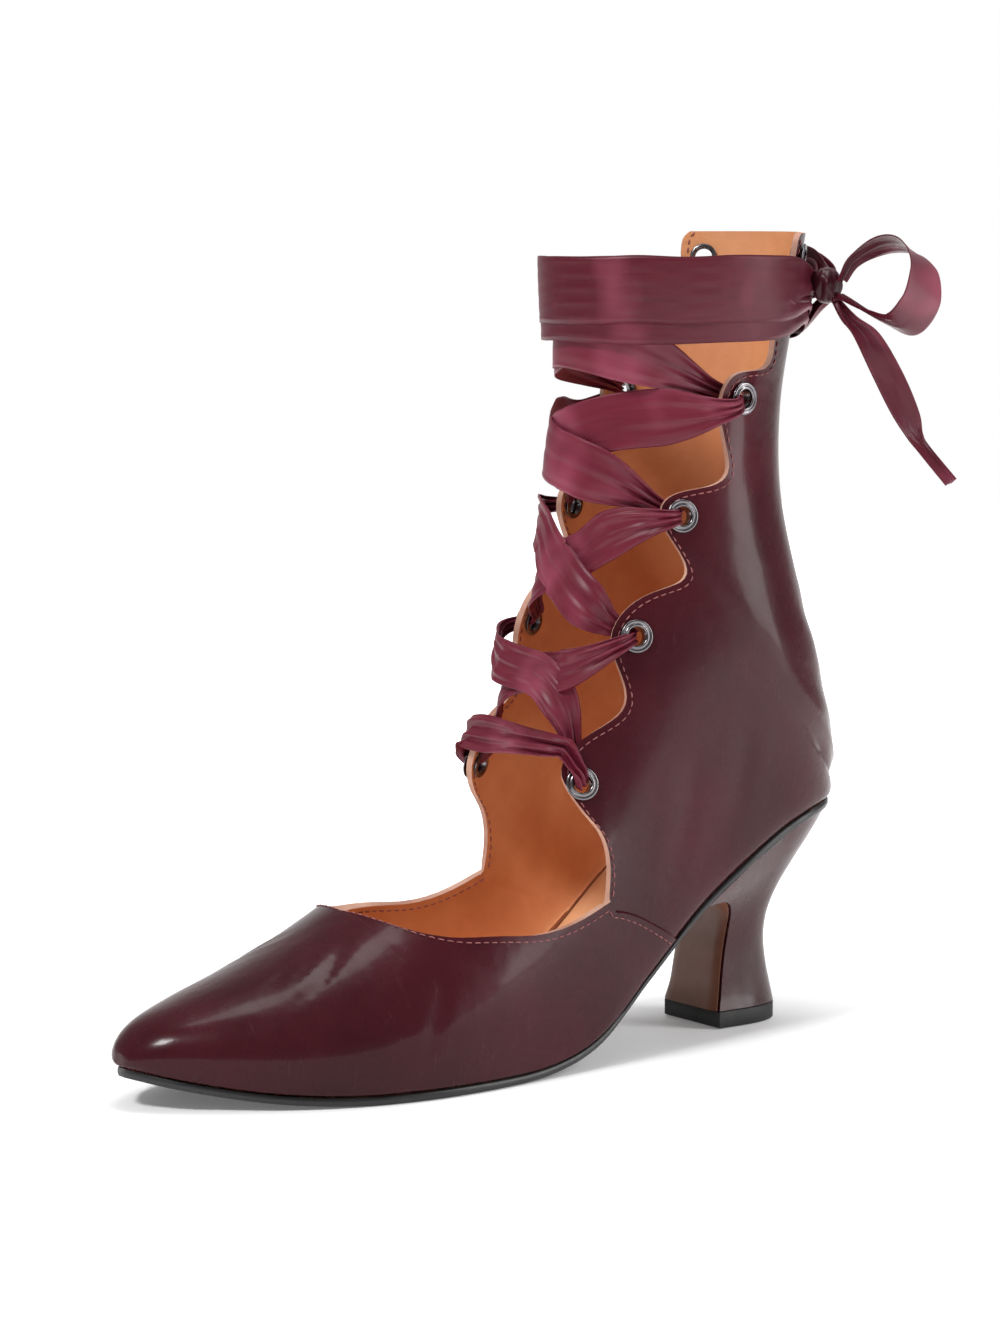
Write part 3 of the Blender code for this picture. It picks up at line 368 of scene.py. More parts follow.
class Paint:
    def __init__(self, name, tree=None, **constants):
        self.tree = tree
        if tree is not None:
            return
        self.material = bpy.data.materials.new(name)
        self.material.use_nodes = True
        self.tree = self.material.node_tree
        self.shader = self.tree.nodes["Principled BSDF"]
        for socket, value in constants.items():
            self.shader.inputs[socket.replace("_", " ")].default_value = value

    def node(self, kind, settings=None, inputs=None, output=0):
        made = self.tree.nodes.new(kind)
        for name, value in (settings or {}).items():
            setattr(made, name, value)
        for name, value in (inputs or {}).items():
            self.feed(made.inputs[name], value)
        return Value(self, made.outputs[output])

    def feed(self, socket, value):
        if isinstance(value, Value):
            self.tree.links.new(value.socket, socket)
        else:
            socket.default_value = value

    def give(self, name, value):
        self.feed(self.shader.inputs[name], value)

    def place(self, scale=(1.0, 1.0, 1.0), turn=(0.0, 0.0, 0.0), uv=False):
        source = self.node("ShaderNodeTexCoord", output="UV" if uv else "Object")
        return self.node("ShaderNodeMapping", {}, {"Vector": source, "Scale": scale, "Rotation": turn})

    def noise(self, place, scale, detail=3.0, roughness=0.55):
        inputs = {"Vector": place, "Scale": scale, "Detail": detail, "Roughness": roughness}
        return self.node("ShaderNodeTexNoise", {}, inputs)

    def cells(self, place, scale):
        return self.node("ShaderNodeTexVoronoi", {"feature": "SMOOTH_F1"}, {"Vector": place, "Scale": scale})

    def mix(self, first, second, share):
        return self.node("ShaderNodeMix", {"data_type": "RGBA"}, {0: share, 6: first, 7: second}, output=2)

    def bump(self, height, distance, strength):
        return self.node("ShaderNodeBump", {}, {"Height": height, "Distance": distance, "Strength": strength})


def colour(red, green, blue):  # from screen values 0 to 255
    linear = []
    for part in (red, green, blue):
        part /= 255
        linear.append(part / 12.92 if part <= 0.04045 else ((part + 0.055) / 1.055) ** 2.4)
    return (*linear, 1.0)


patent = {  # the glossy, slightly crinkled burgundy leather
    "deep": colour(50, 11, 18),
    "light": colour(74, 19, 29),
    "dusk": colour(46, 15, 20),
    "roughness": (0.20, 0.34),
    "coat": 0.12,
    "crinkleScale": 260.0,
    "crinkleDepth": 0.00036,
    "creaseShare": 1.3,
    "scuffs": 0.3,
    "scuffed": colour(128, 92, 96),
}


def leatherPaint(name, crinkle=1.0, gloss=0.12):
    paint = Paint(name, Specular_IOR_Level=gloss, Coat_Roughness=0.10, Coat_Weight=patent["coat"])
    place = paint.place()
    cloud = paint.noise(place, 22.0, 4.0).between(0.32, 0.68)
    broad = paint.noise(place, 7.0, 2.0).between(0.3, 0.7)
    base = paint.mix(patent["deep"], patent["light"], cloud)
    base = paint.mix(base, patent["dusk"], broad * 0.6)
    drawn = paint.place((30.0, 300.0, 60.0), (0.5, 0.3, 0.2))
    streak = paint.noise(drawn, 1.6, 6.0, 0.7).between(0.60, 0.74)
    patchy = paint.noise(place, 16.0, 2.0).between(0.45, 0.62)
    scuff = streak * patchy * patent["scuffs"]
    paint.give("Base Color", paint.mix(base, patent["scuffed"], scuff * 0.35))
    low, high = patent["roughness"]
    fine = paint.noise(place, 90.0, 3.0)
    paint.give("Roughness", low + (high - low) * fine + scuff * 0.2)
    grain = paint.cells(place, patent["crinkleScale"])
    crease = paint.noise(paint.place((1.0, 0.55, 1.0)), 70.0, 5.0, 0.6)
    height = grain * 0.35 + crease * patent["creaseShare"] * crinkle
    paint.give("Normal", paint.bump(height, patent["crinkleDepth"], 0.5))
    return paint.material


lining = {"light": colour(236, 168, 118), "deep": colour(204, 130, 84), "grain": 900.0, "depth": 0.00008}


def liningPaint():
    paint = Paint("caramelLining", Specular_IOR_Level=0.35)
    place = paint.place()
    cloud = paint.noise(place, 26.0, 4.0).between(0.3, 0.7)
    fine = paint.noise(place, 240.0, 3.0)
    paint.give("Base Color", paint.mix(lining["deep"], lining["light"], cloud * 0.7 + fine * 0.3))
    paint.give("Roughness", 0.46 + 0.2 * fine)
    grain = paint.cells(place, lining["grain"])
    paint.give("Normal", paint.bump(grain + paint.noise(place, 60.0) * 0.8, lining["depth"], 0.6))
    return paint.material


satin = {
    "base": colour(92, 22, 37),
    "shade": colour(58, 13, 24),
    # painted light: a lighter copy of the satin's colours, as if lit from above, for the near strands and the
    # bar
    "paintedLitBase": colour(116, 34, 52),
    "paintedLitShade": colour(66, 15, 28),
    # painted sheen: the colour of the soft lighter patches
    "paintedSheen": colour(158, 76, 96),
    "glow": colour(196, 92, 122),
    "roughness": 0.34,
}


def satinPaint(name, shade, base):
    paint = Paint(
        name, Specular_IOR_Level=0.26, Sheen_Weight=0.08, Sheen_Roughness=0.35,
        Sheen_Tint=satin["glow"], Anisotropic=0.55, Coat_Weight=0.0,
    )
    along = paint.place((60.0, 900.0, 1.0), uv=True)
    threads = paint.noise(along, 1.0, 4.0, 0.65)
    broad = paint.noise(paint.place((18.0, 90.0, 1.0), uv=True), 1.0, 2.0)
    # painted sheen: soft lighter patches of colour over the cloth
    paintedSheenMask = paint.noise(paint.place((38.0, 22.0, 1.0), uv=True), 1.0, 2.0).between(0.50, 0.72)
    cloth = paint.mix(shade, base, threads * 0.5 + broad * 0.6)
    paint.give("Base Color", paint.mix(cloth, satin["paintedSheen"], paintedSheenMask * 0.45))
    paint.give("Roughness", satin["roughness"] + 0.12 * threads)
    paint.give("Normal", paint.bump(threads, 0.00006, 0.5))
    return paint.material


def plainPaint(name, first, second, roughness, grain=200.0, depth=0.00005, **constants):
    paint = Paint(name, **constants)
    place = paint.place()
    cloud = paint.noise(place, grain / 8, 4.0).between(0.3, 0.7)
    fine = paint.noise(place, grain, 4.0)
    paint.give("Base Color", paint.mix(first, second, cloud))
    paint.give("Roughness", roughness[0] + (roughness[1] - roughness[0]) * fine)
    paint.give("Normal", paint.bump(fine, depth, 0.6))
    return paint.material


looks = {
    "leather": leatherPaint("burgundyLeather"),
    "heelLeather": leatherPaint("heelLeather", 0.4, 0.28),
    "lining": liningPaint(),
    "rawEdge": plainPaint("rawEdge", colour(214, 172, 150), colour(168, 118, 100), (0.6, 0.8), 500.0),
    "thread": plainPaint("pinkThread", colour(158, 94, 92), colour(116, 60, 62), (0.5, 0.7), 1500.0),
    "satin": satinPaint("burgundySatin", satin["shade"], satin["base"]),
    "paintedLitSatin": satinPaint("paintedLitSatin", satin["paintedLitShade"], satin["paintedLitBase"]),
    "knotSatin": satinPaint("knotSatin", colour(52, 13, 23), satin["shade"]),
    "sole": plainPaint("blackSole", colour(20, 19, 21), colour(34, 32, 34), (0.28, 0.5), 300.0),
    "tread": plainPaint("treadRubber", colour(24, 23, 24), colour(40, 38, 38), (0.5, 0.75), 700.0, 0.0001),
    "insole": plainPaint("tanInsole", colour(242, 184, 136), colour(226, 164, 116), (0.42, 0.6), 420.0),
    "breast": plainPaint("breastLeather", colour(132, 84, 62), colour(104, 62, 44), (0.34, 0.5), 300.0),
    "metal": plainPaint(
        "eyeletMetal", colour(132, 128, 130), colour(88, 84, 88), (0.16, 0.32), 900.0, 0.00003, Metallic=1.0,
    ),
}
print("paints ready")

# Camera, floor and light

view = {
    "look": (0.01566, -0.13153, 0.11926),
    "azimuth": 54.0,
    "reach": 1.150,
    "height": 0.2568,
    "lens": 142.24,
}


def makeCamera():
    data = bpy.data.cameras.new("photoCamera")
    data.lens = view["lens"]
    data.sensor_width = 36.0
    data.sensor_fit = "HORIZONTAL"
    data.clip_start, data.clip_end = 0.05, 20.0
    camera = bpy.data.objects.new("photoCamera", data)
    bpy.context.scene.collection.objects.link(camera)
    look = Vector(view["look"]) + Vector(shift)
    turn = math.radians(view["azimuth"])
    place = Vector((
        look.x + view["reach"] * math.sin(turn),
        look.y - view["reach"] * math.cos(turn),
        view["height"],
    ))
    camera.location = place
    camera.rotation_euler = (look - place).to_track_quat("-Z", "Y").to_euler()
    bpy.context.scene.camera = camera


def softLight(name, place, aim, size, power):
    data = bpy.data.lights.new(name, "AREA")
    data.shape = "RECTANGLE"
    data.size, data.size_y = size
    data.energy = power
    lamp = bpy.data.objects.new(name, data)
    bpy.context.scene.collection.objects.link(lamp)
    lamp.location = place
    lamp.rotation_euler = (Vector(aim) - Vector(place)).to_track_quat("-Z", "Y").to_euler()


# place is (to the camera's right, towards the camera, up) from the shoe's middle
studio = {
    "key": {"place": (-0.75, 0.75, 1.25), "size": (0.30, 0.30), "power": 16.0},
    "side": {"place": (1.15, 0.15, 0.55), "size": (0.34, 1.1), "power": 9.0},
    "top": {"place": (0.1, -0.3, 1.6), "size": (1.0, 0.8), "power": 13.0},
    "room": 0.28,
    "backdrop": 1.0,
    "floor": colour(250, 250, 250),
    "nearGlow": colour(96, 96, 96),  # the floor's own light under the shoe; further off it is white
    "aim": (0.0, 0.0, 0.10),
    "half": 1.6,
}


def makeStudio():
    world = bpy.data.worlds.new("studio")
    bpy.context.scene.world = world
    bpy.context.scene.view_settings.view_transform = "Standard"
    world.use_nodes = True
    air = Paint("air", tree=world.node_tree)
    way = air.node("ShaderNodeTexCoord", output="Generated")
    turn = math.radians(view["azimuth"])
    ahead = (-math.sin(turn), math.cos(turn), -0.1)
    dot = {"operation": "DOT_PRODUCT"}
    facing = air.node("ShaderNodeVectorMath", dot, {0: way, 1: ahead}, output="Value")
    strength = studio["room"] + (studio["backdrop"] - studio["room"]) * facing.between(0.72, 0.93)
    air.feed(world.node_tree.nodes["Background"].inputs["Strength"], strength)
    world.node_tree.nodes["Background"].inputs["Color"].default_value = (1.0, 1.0, 1.0, 1.0)
    right = Vector((math.cos(turn), math.sin(turn), 0.0))
    near = Vector((math.sin(turn), -math.cos(turn), 0.0))
    for name in ("key", "side", "top"):
        lamp = studio[name]
        x, y, z = lamp["place"]
        place = right * x + near * y + Vector((0, 0, z))
        softLight(name, place, studio["aim"], lamp["size"], lamp["power"])
    floor = Paint("paleFloor", Roughness=0.6, Specular_IOR_Level=0.1, Emission_Strength=1.0)
    floor.give("Base Color", studio["floor"])
    away = floor.node("ShaderNodeVectorMath", {"operation": "LENGTH"}, {0: floor.place()}, output="Value")
    floor.give("Emission Color", floor.mix(studio["nearGlow"], studio["floor"], away.between(0.12, 0.55)))
    half = studio["half"]
    corners = [(-half, -half, 0), (half, -half, 0), (half, half, 0), (-half, half, 0)]
    sheet = meshPiece("paleFloor", corners, [(0, 1, 2, 3)], [floor.material], smoothShading=False)
    sheet.location.z = -0.0002


makeCamera()
makeStudio()
print("camera and studio ready")

# Ribbon

# The ribbon's crossings from the vamp up, each of a run in front and a run behind
crossings = (
    # dip and its skew, sink as a share of the width, bend in front and behind, width
    (0.75, 2.0, 0.225, 0.00, 0.00, 0.66),
    (0.92, 1.0, 0.225, -0.25, -0.10, 0.76),
    (0.97, 1.0, 0.0, -0.60, 0.30, 0.86),
    (1.03, 1.0, 0.0, 0.00, 1.20, 0.92),
)
bar = {"edge": 41.0, "widths": ((0.0, 0.24), (0.22, 0.36), (0.5, 0.48), (0.8, 0.56), (1.0, 0.24))}
ribbon = {
    "width": 0.020,
    "thickness": 0.00028,
    "pinch": 0.0042,  # width where it goes through an eyelet
    "pleat": 0.0009,
    "outside": 0.0029,  # lift over the outer face at an eyelet
    "inside": -0.0042,
    "hole": -0.0009,
    "overGap": -0.0008,
    "inFront": 0.0012,  # the near strand over the far one where they cross
    "across": 26,
}


def ribbonMesh(name, grid, run, look):
    rowCount, columnCount = grid.shape[:2]
    across = np.linspace(-0.5, 0.5, columnCount) * ribbon["width"]
    uv = np.stack(np.broadcast_arrays(run[:, None], across), -1)
    piece = meshPiece(name, grid, gridFaces(rowCount, columnCount), [look], uv)
    wall = piece.modifiers.new("thickness", "SOLIDIFY")
    wall.thickness = ribbon["thickness"]
    wall.offset = 0.0
    return applied(piece)


def acrossGrid(sections, turns, widths, lifts, columnCount):
    # points of a band that lies on the shoe, moved off it by lifts
    middle = onShoe(sections, turns)
    tangent = np.gradient(middle, axis=0)
    a = (onShoe(sections + 0.1, turns) - middle) / 0.1
    b = (onShoe(sections, turns + 2.0) - middle) / 2.0
    across = unit(np.cross(np.cross(a, b), tangent))
    aa, ab, bb = (a * a).sum(-1), (a * b).sum(-1), (b * b).sum(-1)
    av, bv = (a * across).sum(-1), (b * across).sum(-1)
    det = aa * bb - ab * ab
    moveSection = (av * bb - bv * ab) / det
    moveTurn = (bv * aa - av * ab) / det
    u = np.linspace(-0.5, 0.5, columnCount)[None, :] * widths[:, None]
    return onShoe(sections[:, None] + u * moveSection[:, None], turns[:, None] + u * moveTurn[:, None], lifts)


def pleated(widths, columnCount, seed, count=3.0):
    gathered = 1 - np.clip(widths / ribbon["width"], 0, 1)
    u = np.linspace(-1, 1, columnCount)
    phase = wavy(len(widths), 6, seed)[:, None] * 0.9
    deep = ribbon["pleat"] * gathered[:, None] ** 1.4
    folds = np.sin(math.pi * count * u[None, :] + phase)
    small = 0.4 * np.sin(math.pi * (count + 2.3) * u[None, :] - phase * 2)
    return deep * (folds + small)


def strand(number, side, seed, count=110):
    dip, skew, sink, front, behind, wide = crossings[number]
    share = np.linspace(0.0, 1.0, count)
    first, last = eyelets[number], eyelets[number + 1]
    turn = side * (first[1] + (-last[1] - first[1]) * share)
    straight = first[0] + (last[0] - first[0]) * share
    near = np.clip((share if side > 0 else 1 - share) / 0.65, 0.0, 1.0)
    bend = (front if side > 0 else behind) * np.sin(math.pi * near)
    section = straight - dip * np.sin(math.pi * share**skew) + bend
    middle = ribbon["overGap"] + (ribbon["inFront"] if side > 0 else 0.0)
    hole, inside, out = ribbon["hole"], ribbon["inside"], ribbon["outside"]
    marks = (0.0, 0.035, 0.13, 0.24, 0.74, 0.87, 0.965, 1.0)
    lift = smooth(marks, (hole, inside, inside, middle, middle, out, out, hole), share)
    lift = lift - sink * ribbon["width"] * np.sin(math.pi * np.clip((share - 0.10) / 0.62, 0.0, 1.0))
    nearEnd = np.minimum(share, 1 - share)
    widths = ribbon["pinch"] + (wide * ribbon["width"] - ribbon["pinch"]) * eased(nearEnd / 0.30)
    columnCount = ribbon["across"]
    lifts = lift[:, None] + 1.3 * pleated(widths, columnCount, seed)
    lifts = lifts + 0.0005 * wavy(count, 5, seed + 1)[:, None] * np.linspace(-1, 1, columnCount) ** 2
    grid = acrossGrid(section, turn, widths, lifts, columnCount)
    return grid, lengths(onShoe(section, turn))


def joinedPiece(name, pieces):
    whole = bmesh.new()
    for piece in pieces:
        whole.from_mesh(piece.data)
    data = pieces[0].data
    whole.to_mesh(data)
    whole.free()
    for extra in pieces[1:]:
        bpy.data.objects.remove(extra)
    pieces[0].name = name
    return pieces[0]


def makeStrands():
    for number in range(len(crossings)):
        pair = []
        for side in (1, -1):
            grid, run = strand(number, side, 20 + 4 * number + side)
            # painted light: the near strand takes the lighter copy of the satin, the far one the plain satin
            look = looks["paintedLitSatin"] if side > 0 else looks["satin"]
            pair.append(ribbonMesh(f"strand{number}{side}", grid, run, look))
        seat(joinedPiece(f"ribbonCross{number + 1}", pair), "satin_ribbon", f"lace_cross_{number + 1}")


def makeBar():
    # over each quarter to its front edge, and straight across between them
    section, turn = eyelets[0]
    turns = np.linspace(turn, bar["edge"], 8)
    lifts = np.interp(np.arange(8), (0, 2), (ribbon["hole"], ribbon["outside"]))
    halves, ways = [], []
    for side in (1, -1):
        half = onShoe(section, side * turns, lifts)
        way = onShoe(section + 0.1, side * turns, lifts) - half
        halves.append(half[::side])
        ways.append(way[::side])
    halves, ways = np.concatenate(halves), unit(np.concatenate(ways))
    marks = np.concatenate([np.linspace(0.0, 0.16, 8), np.linspace(0.84, 1.0, 8)])
    share = np.linspace(0.0, 1.0, 130)
    path = softened(np.stack([np.interp(share, marks, halves[:, k]) for k in range(3)], -1))
    across = np.stack([np.interp(share, marks, ways[:, k]) for k in range(3)], -1)
    widths = curve(bar["widths"], 1, share) * ribbon["width"]
    # painted light: the bar takes the lighter copy of the satin
    piece = freeRibbon("ribbonBar", path, across, widths, 71, looks["paintedLitSatin"], 2.2)
    seat(piece, "satin_ribbon", "lace_bar")


def levelRing(heights, lift, count):
    # points round the leg at the given height for each turn
    turns = np.linspace(-180.0, 180.0, count, endpoint=False)
    side = np.where(turns >= 0, 1.0, -1.0)
    sections = np.linspace(seatSection, topSection, 160)
    tall = lastPoint(sections[:, None], np.abs(turns)[None, :], side[None, :])[..., 2]
    at = np.array([np.interp(heights[k], tall[:, k], sections) for k in range(count)])
    point = lastPoint(at, np.abs(turns), side)
    out = lastNormal(np.minimum(at, topSection - 0.05), np.clip(np.abs(turns), 2, 178), side)
    out[:, 2] = 0.0
    return point + unit(out) * np.asarray(lift)[..., None]


wraps = {
    "count": 200,
    "upper": {"top": 0.2380, "lift": 0.0047, "tilt": 0.0008},
    "lower": {"top": 0.2335, "lift": 0.0042, "tilt": -0.0008},
    "knotTurn": 136.0,
    "gathered": (16.0, 0.42),  # degrees to each side of the knot, and share of the width lost there
}


def makeWraps():
    pair = []
    count = wraps["count"]
    turns = np.linspace(-180.0, 180.0, count, endpoint=False)
    toKnot = np.abs((turns - wraps["knotTurn"] + 180) % 360 - 180)
    pulled = np.exp(-(toKnot / wraps["gathered"][0]) ** 2)
    for number, key in enumerate(("lower", "upper")):
        band = wraps[key]
        columnCount = 15
        rings = []
        for c in range(columnCount):
            u = 1 - 2 * c / (columnCount - 1)
            centre = band["top"] - ribbon["width"] / 2
            squeeze = 1 - wraps["gathered"][1] * pulled
            tilt = band["tilt"] * np.sin(np.radians(turns + 40))
            height = centre + u * ribbon["width"] / 2 * squeeze + tilt
            height = height + 0.0003 * wavy(count, 18, 5 + number)
            folds = 0.0006 * pulled * np.sin(6.5 * u + 0.6 * number) + 0.00012 * wavy(count, 26, 9 + c % 3)
            rings.append(levelRing(height, band["lift"] + folds + 0.0002 * (1 - u * u), count))
        grid = np.transpose(np.array(rings), (1, 0, 2))
        grid = np.concatenate([grid, grid[:1]], 0)
        run = lengths(grid[:, columnCount // 2])
        pair.append(ribbonMesh(f"wrap{number}", grid, run, looks["satin"]))
    seat(joinedPiece("ribbonWraps", pair), "satin_ribbon", "lace_wraps")


# How far off the leg the solids' ribbons lie: eyelet seat, flange, gaps and the leg's roundness
outside = 0.0005 + 0.0007 + 0.0003 + 3 * 0.005**2 / (1.6 * shoe["shaftWidth"]) + 0.0004
bow = {
    "reach": 0.035,
    "knot": (19.42, 136.0),
    "knotSize": (0.0065, 0.0042, 0.0055),
    "lift": outside + 2.4 * 0.0008 + 2 * shoe["fit"],
    "overWrap": outside + 2.5 * 0.0008 + 2 * shoe["fit"],
    "depth": 0.0050,
    "heading": 22.0,
    "loopTilt": 22.0,
    "endTilt": 4.0,
    "outerLoop": (
        # away from the knot and up, shares of reach, and width
        (0.134, 0.05, 0.28), (0.26, 0.22, 0.42), (0.53, 0.35, 0.66), (0.77, 0.33, 0.88),
        (0.92, 0.15, 1.00), (0.91, -0.12, 1.00), (0.73, -0.33, 0.90), (0.48, -0.26, 0.60),
        (0.128, -0.08, 0.28),
    ),
    "outerEnd": (
        (0.085, -0.135, 0.20), (0.22, -0.28, 0.44), (0.39, -0.42, 0.76), (0.60, -0.76, 0.95),
        (0.77, -1.09, 0.86), (0.86, -1.28, 0.42), (0.96, -1.40, 0.18), (1.21, -1.66, 0.15),
    ),
    "backLoop": (  # section, turn running past 180, height over the wraps, width
        (19.50, 145.2, 0.60, 0.28), (19.52, 152.0, 0.25, 0.52), (19.57, 164.0, 0.00, 0.78),
        (19.60, 180.0, 0.00, 0.85), (19.60, 195.0, 0.00, 0.85), (19.60, 203.0, 0.10, 0.85),
        (19.60, 206.5, 0.50, 0.85), (19.60, 203.0, 0.90, 0.85), (19.60, 193.0, 1.00, 0.85),
        (19.58, 178.0, 1.00, 0.82), (19.54, 161.0, 1.00, 0.58), (19.50, 144.6, 1.20, 0.28),
    ),
    "backEnd": (
        (19.27, 143.4, 0.80, 0.20), (19.18, 149.0, 0.40, 0.32), (19.02, 163.0, 0.02, 0.42),
        (18.98, 178.0, 0.00, 0.46), (18.90, 190.0, 0.05, 0.55), (18.70, 199.0, 0.25, 0.75),
        (18.42, 203.5, 0.55, 0.88), (18.10, 205.0, 0.78, 0.90), (17.82, 205.0, 0.80, 0.84),
        (17.62, 205.0, 0.75, 0.42), (17.52, 205.0, 0.72, 0.18), (17.25, 204.5, 0.65, 0.15),
    ),
}


def knotCentre():
    section, turn = bow["knot"]
    return onShoe(section, turn, bow["lift"] + bow["knotSize"][1])


def outerPath(route, fine, tilt):
    heading, tilt = math.radians(bow["heading"]), math.radians(tilt)
    out = np.array([math.cos(heading), math.sin(heading), 0.0])
    level = np.array([out[1], -out[0], 0.0])
    across = level * math.cos(tilt) + np.array([0.0, 0.0, 1.0]) * math.sin(tilt)
    away, up, wide = traced(route, fine)
    path = knotCentre() + bow["reach"] * away[:, None] * out
    path[:, 2] += bow["reach"] * up
    return path, np.tile(across, (fine, 1)), np.maximum(wide * ribbon["width"], 0.0030)


def backPath(rows, fine, upright):
    section, turn, over, wide = traced(rows, fine)
    turn = np.where(turn > 180, turn - 360, turn)
    lift = bow["overWrap"] + bow["depth"] * over
    path = onShoe(section, turn, lift)
    if upright:
        across = unit(onShoe(section + 0.05, turn, lift) - path)
    else:
        across = unit(np.cross(onShoe(section, turn, lift + 0.001) - path, np.gradient(path, axis=0)))
    return path, across, np.maximum(wide * ribbon["width"], 0.0030)


def freeRibbon(name, path, across, widths, seed, look, folds=1.2):
    tangent = unit(np.gradient(path, axis=0))
    across = unit(across - tangent * (across * tangent).sum(-1, keepdims=True))
    face = np.cross(tangent, across)
    columnCount = ribbon["across"]
    u = np.linspace(-0.5, 0.5, columnCount)
    lifts = pleated(widths, columnCount, seed, 2.5) * folds
    lifts = lifts + 0.0006 * wavy(len(path), 9, seed + 1)[:, None] * (2 * u) ** 2
    lifts = lifts + 0.0007 * wavy(len(path), 7, seed + 2)[:, None] * (2 * u)
    wide = across[:, None] * (u[None, :, None] * widths[:, None, None])
    grid = path[:, None] + wide + face[:, None] * lifts[..., None]
    return ribbonMesh(name, grid, lengths(path), look)


def makeBow():
    centre = knotCentre()
    outerLoop = outerPath(bow["outerLoop"], 130, bow["loopTilt"])
    outerEnd = outerPath(bow["outerEnd"], 90, bow["endTilt"])
    backLoop, backEnd = backPath(bow["backLoop"], 130, True), backPath(bow["backEnd"], 110, False)
    sides = {"outer": (outerLoop, outerEnd), "back": (backLoop, backEnd)}
    for number, (name, (loop, end)) in enumerate(sides.items()):
        inKnot = np.linspace(loop[0][-1], end[0][0], 8)[1:-1]
        hidden = np.clip(1 - np.abs(np.linspace(-1, 1, 6)), 0, 1)[:, None]
        inKnot = inKnot + (centre - inKnot) * 0.35 * hidden
        path = np.concatenate([loop[0], inKnot, end[0]])
        ownWay = end[1] * np.sign(loop[1][-1] @ end[1][0])
        turned = unit(np.linspace(loop[1][-1], ownWay[0], 8)[1:-1])
        across = np.concatenate([loop[1], turned, ownWay])
        widths = np.concatenate([loop[2], np.full(6, ribbon["pinch"]), end[2]])
        title = f"ribbonBow{name.capitalize()}"
        piece = freeRibbon(title, path, across, widths, 40 + 10 * number, looks["satin"])
        seat(piece, "satin_ribbon", f"lace_loop_{name}", f"lace_end_{name}")
    makeKnot(centre)


def makeKnot(centre):
    section, turn = bow["knot"]
    out = lastNormal(section, turn, 1.0)
    out[2] = 0.0
    out = unit(out)
    up = np.array([0.0, 0.0, 1.0])
    along = np.cross(out, up)
    theta = np.linspace(0, 2 * math.pi, 72, endpoint=False)
    rings = []
    for level in np.linspace(-1, 1, 34):
        reach = math.sqrt(max(1 - level**2, 0.0)) ** 0.8 + 0.02
        folds = 1 + 0.07 * np.sin(5 * theta + 2.2 * level) + 0.05 * np.sin(9 * theta - 3 * level)
        x = np.cos(theta) * reach * folds * bow["knotSize"][0]
        y = np.sin(theta) * reach * folds * bow["knotSize"][1]
        rings.append(centre + x[:, None] * along + y[:, None] * out + level * bow["knotSize"][2] * up)
    seat(loftPiece("ribbonKnot", rings, [looks["knotSatin"]]), "satin_ribbon", "lace_knot")


makeBow()
print("bow tied")
makeStrands()
makeBar()
makeWraps()
print("ribbon laced")

# Upper

upper = {
    "fine": 3,  # how much closer its points lie than the solid's
    "ribSteps": 64,
    "vampRibs": 34,
    "vampEnd": 5.2,  # section of the last whole rib
    "edgeSteps": (10, 6, 2),  # along the throat, the quarter's front and the top corner
    "creases": (
        # from, to (section, turn, below zero on the inner half), depth and width in metres
        ((5.05, 22.0), (4.15, 48.0), 0.00055, 0.0022),
        ((4.60, 8.0), (3.90, 30.0), 0.00045, 0.0018),
        ((5.40, 40.0), (4.70, 66.0), 0.00050, 0.0024),
        ((4.85, -14.0), (4.20, -40.0), 0.00045, 0.0020),
        ((6.10, 66.0), (5.60, 96.0), 0.00045, 0.0026),
        ((10.40, 118.0), (11.30, 92.0), 0.00040, 0.0040),
        ((11.20, 132.0), (12.20, 100.0), 0.00034, 0.0040),
        ((14.60, 150.0), (14.20, 112.0), 0.00040, 0.0050),
        ((15.60, 160.0), (15.40, 124.0), 0.00034, 0.0044),
        ((10.60, -116.0), (11.40, -90.0), 0.00036, 0.0040),
        ((14.60, -150.0), (14.20, -112.0), 0.00036, 0.0050),
    ),
}


def nudged(place, along, forward):
    section, turn = place
    here = lastPoint(section, turn, 1)
    dSection = (lastPoint(section + 0.1, turn, 1) - here) / 0.1
    dTurn = (lastPoint(section, turn + 2.0, 1) - here) / 2.0
    ahead = np.cross(along, np.cross(dSection, dTurn))
    ahead /= np.linalg.norm(ahead)
    if ahead[1] > 0:
        ahead = -ahead
    moved = np.linalg.lstsq(np.stack([dSection, dTurn], 1), ahead * forward, rcond=None)[0]
    return section + moved[0], turn + moved[1]


def scallops(fine):
    edge = []
    for first, second in zip(eyelets, eyelets[1:]):
        start, end = (lastPoint(*place, 1) for place in (first, second))
        spacing = np.linalg.norm(end - start)
        along = (end - start) / spacing
        depth = min(lobe["depth"], 0.35 * spacing)
        count = (8 if spacing > 2 * lobe["depth"] else 4) * fine
        for k in range(count):
            share = k / count
            place = tuple(np.array(first) + share * (np.array(second) - np.array(first)))
            wave = math.cos(2 * math.pi * share**1.1)
            edge.append(nudged(place, along, lobe["margin"] - depth * ((1 - wave) / 2) ** 1.3))
    edge.append(nudged(eyelets[-1], along, lobe["margin"] * 0.8))
    return edge


def easedEdge(points, count):
    return list(zip(*traced(points, count)))


def openingEdge(fine):
    waves = scallops(fine)
    counts = [steps * fine + 1 for steps in upper["edgeSteps"]]
    head = easedEdge([*throat, wingCorner], counts[0])
    front = easedEdge([wingCorner, *quarterFront, waves[0]], counts[1])[1:-1]
    top = easedEdge([waves[-1], *topCorner], counts[2])[1:]
    corner = len(head) - 1
    return [tuple(place) for place in softened([*head, *front, *waves, *top], corner)], corner


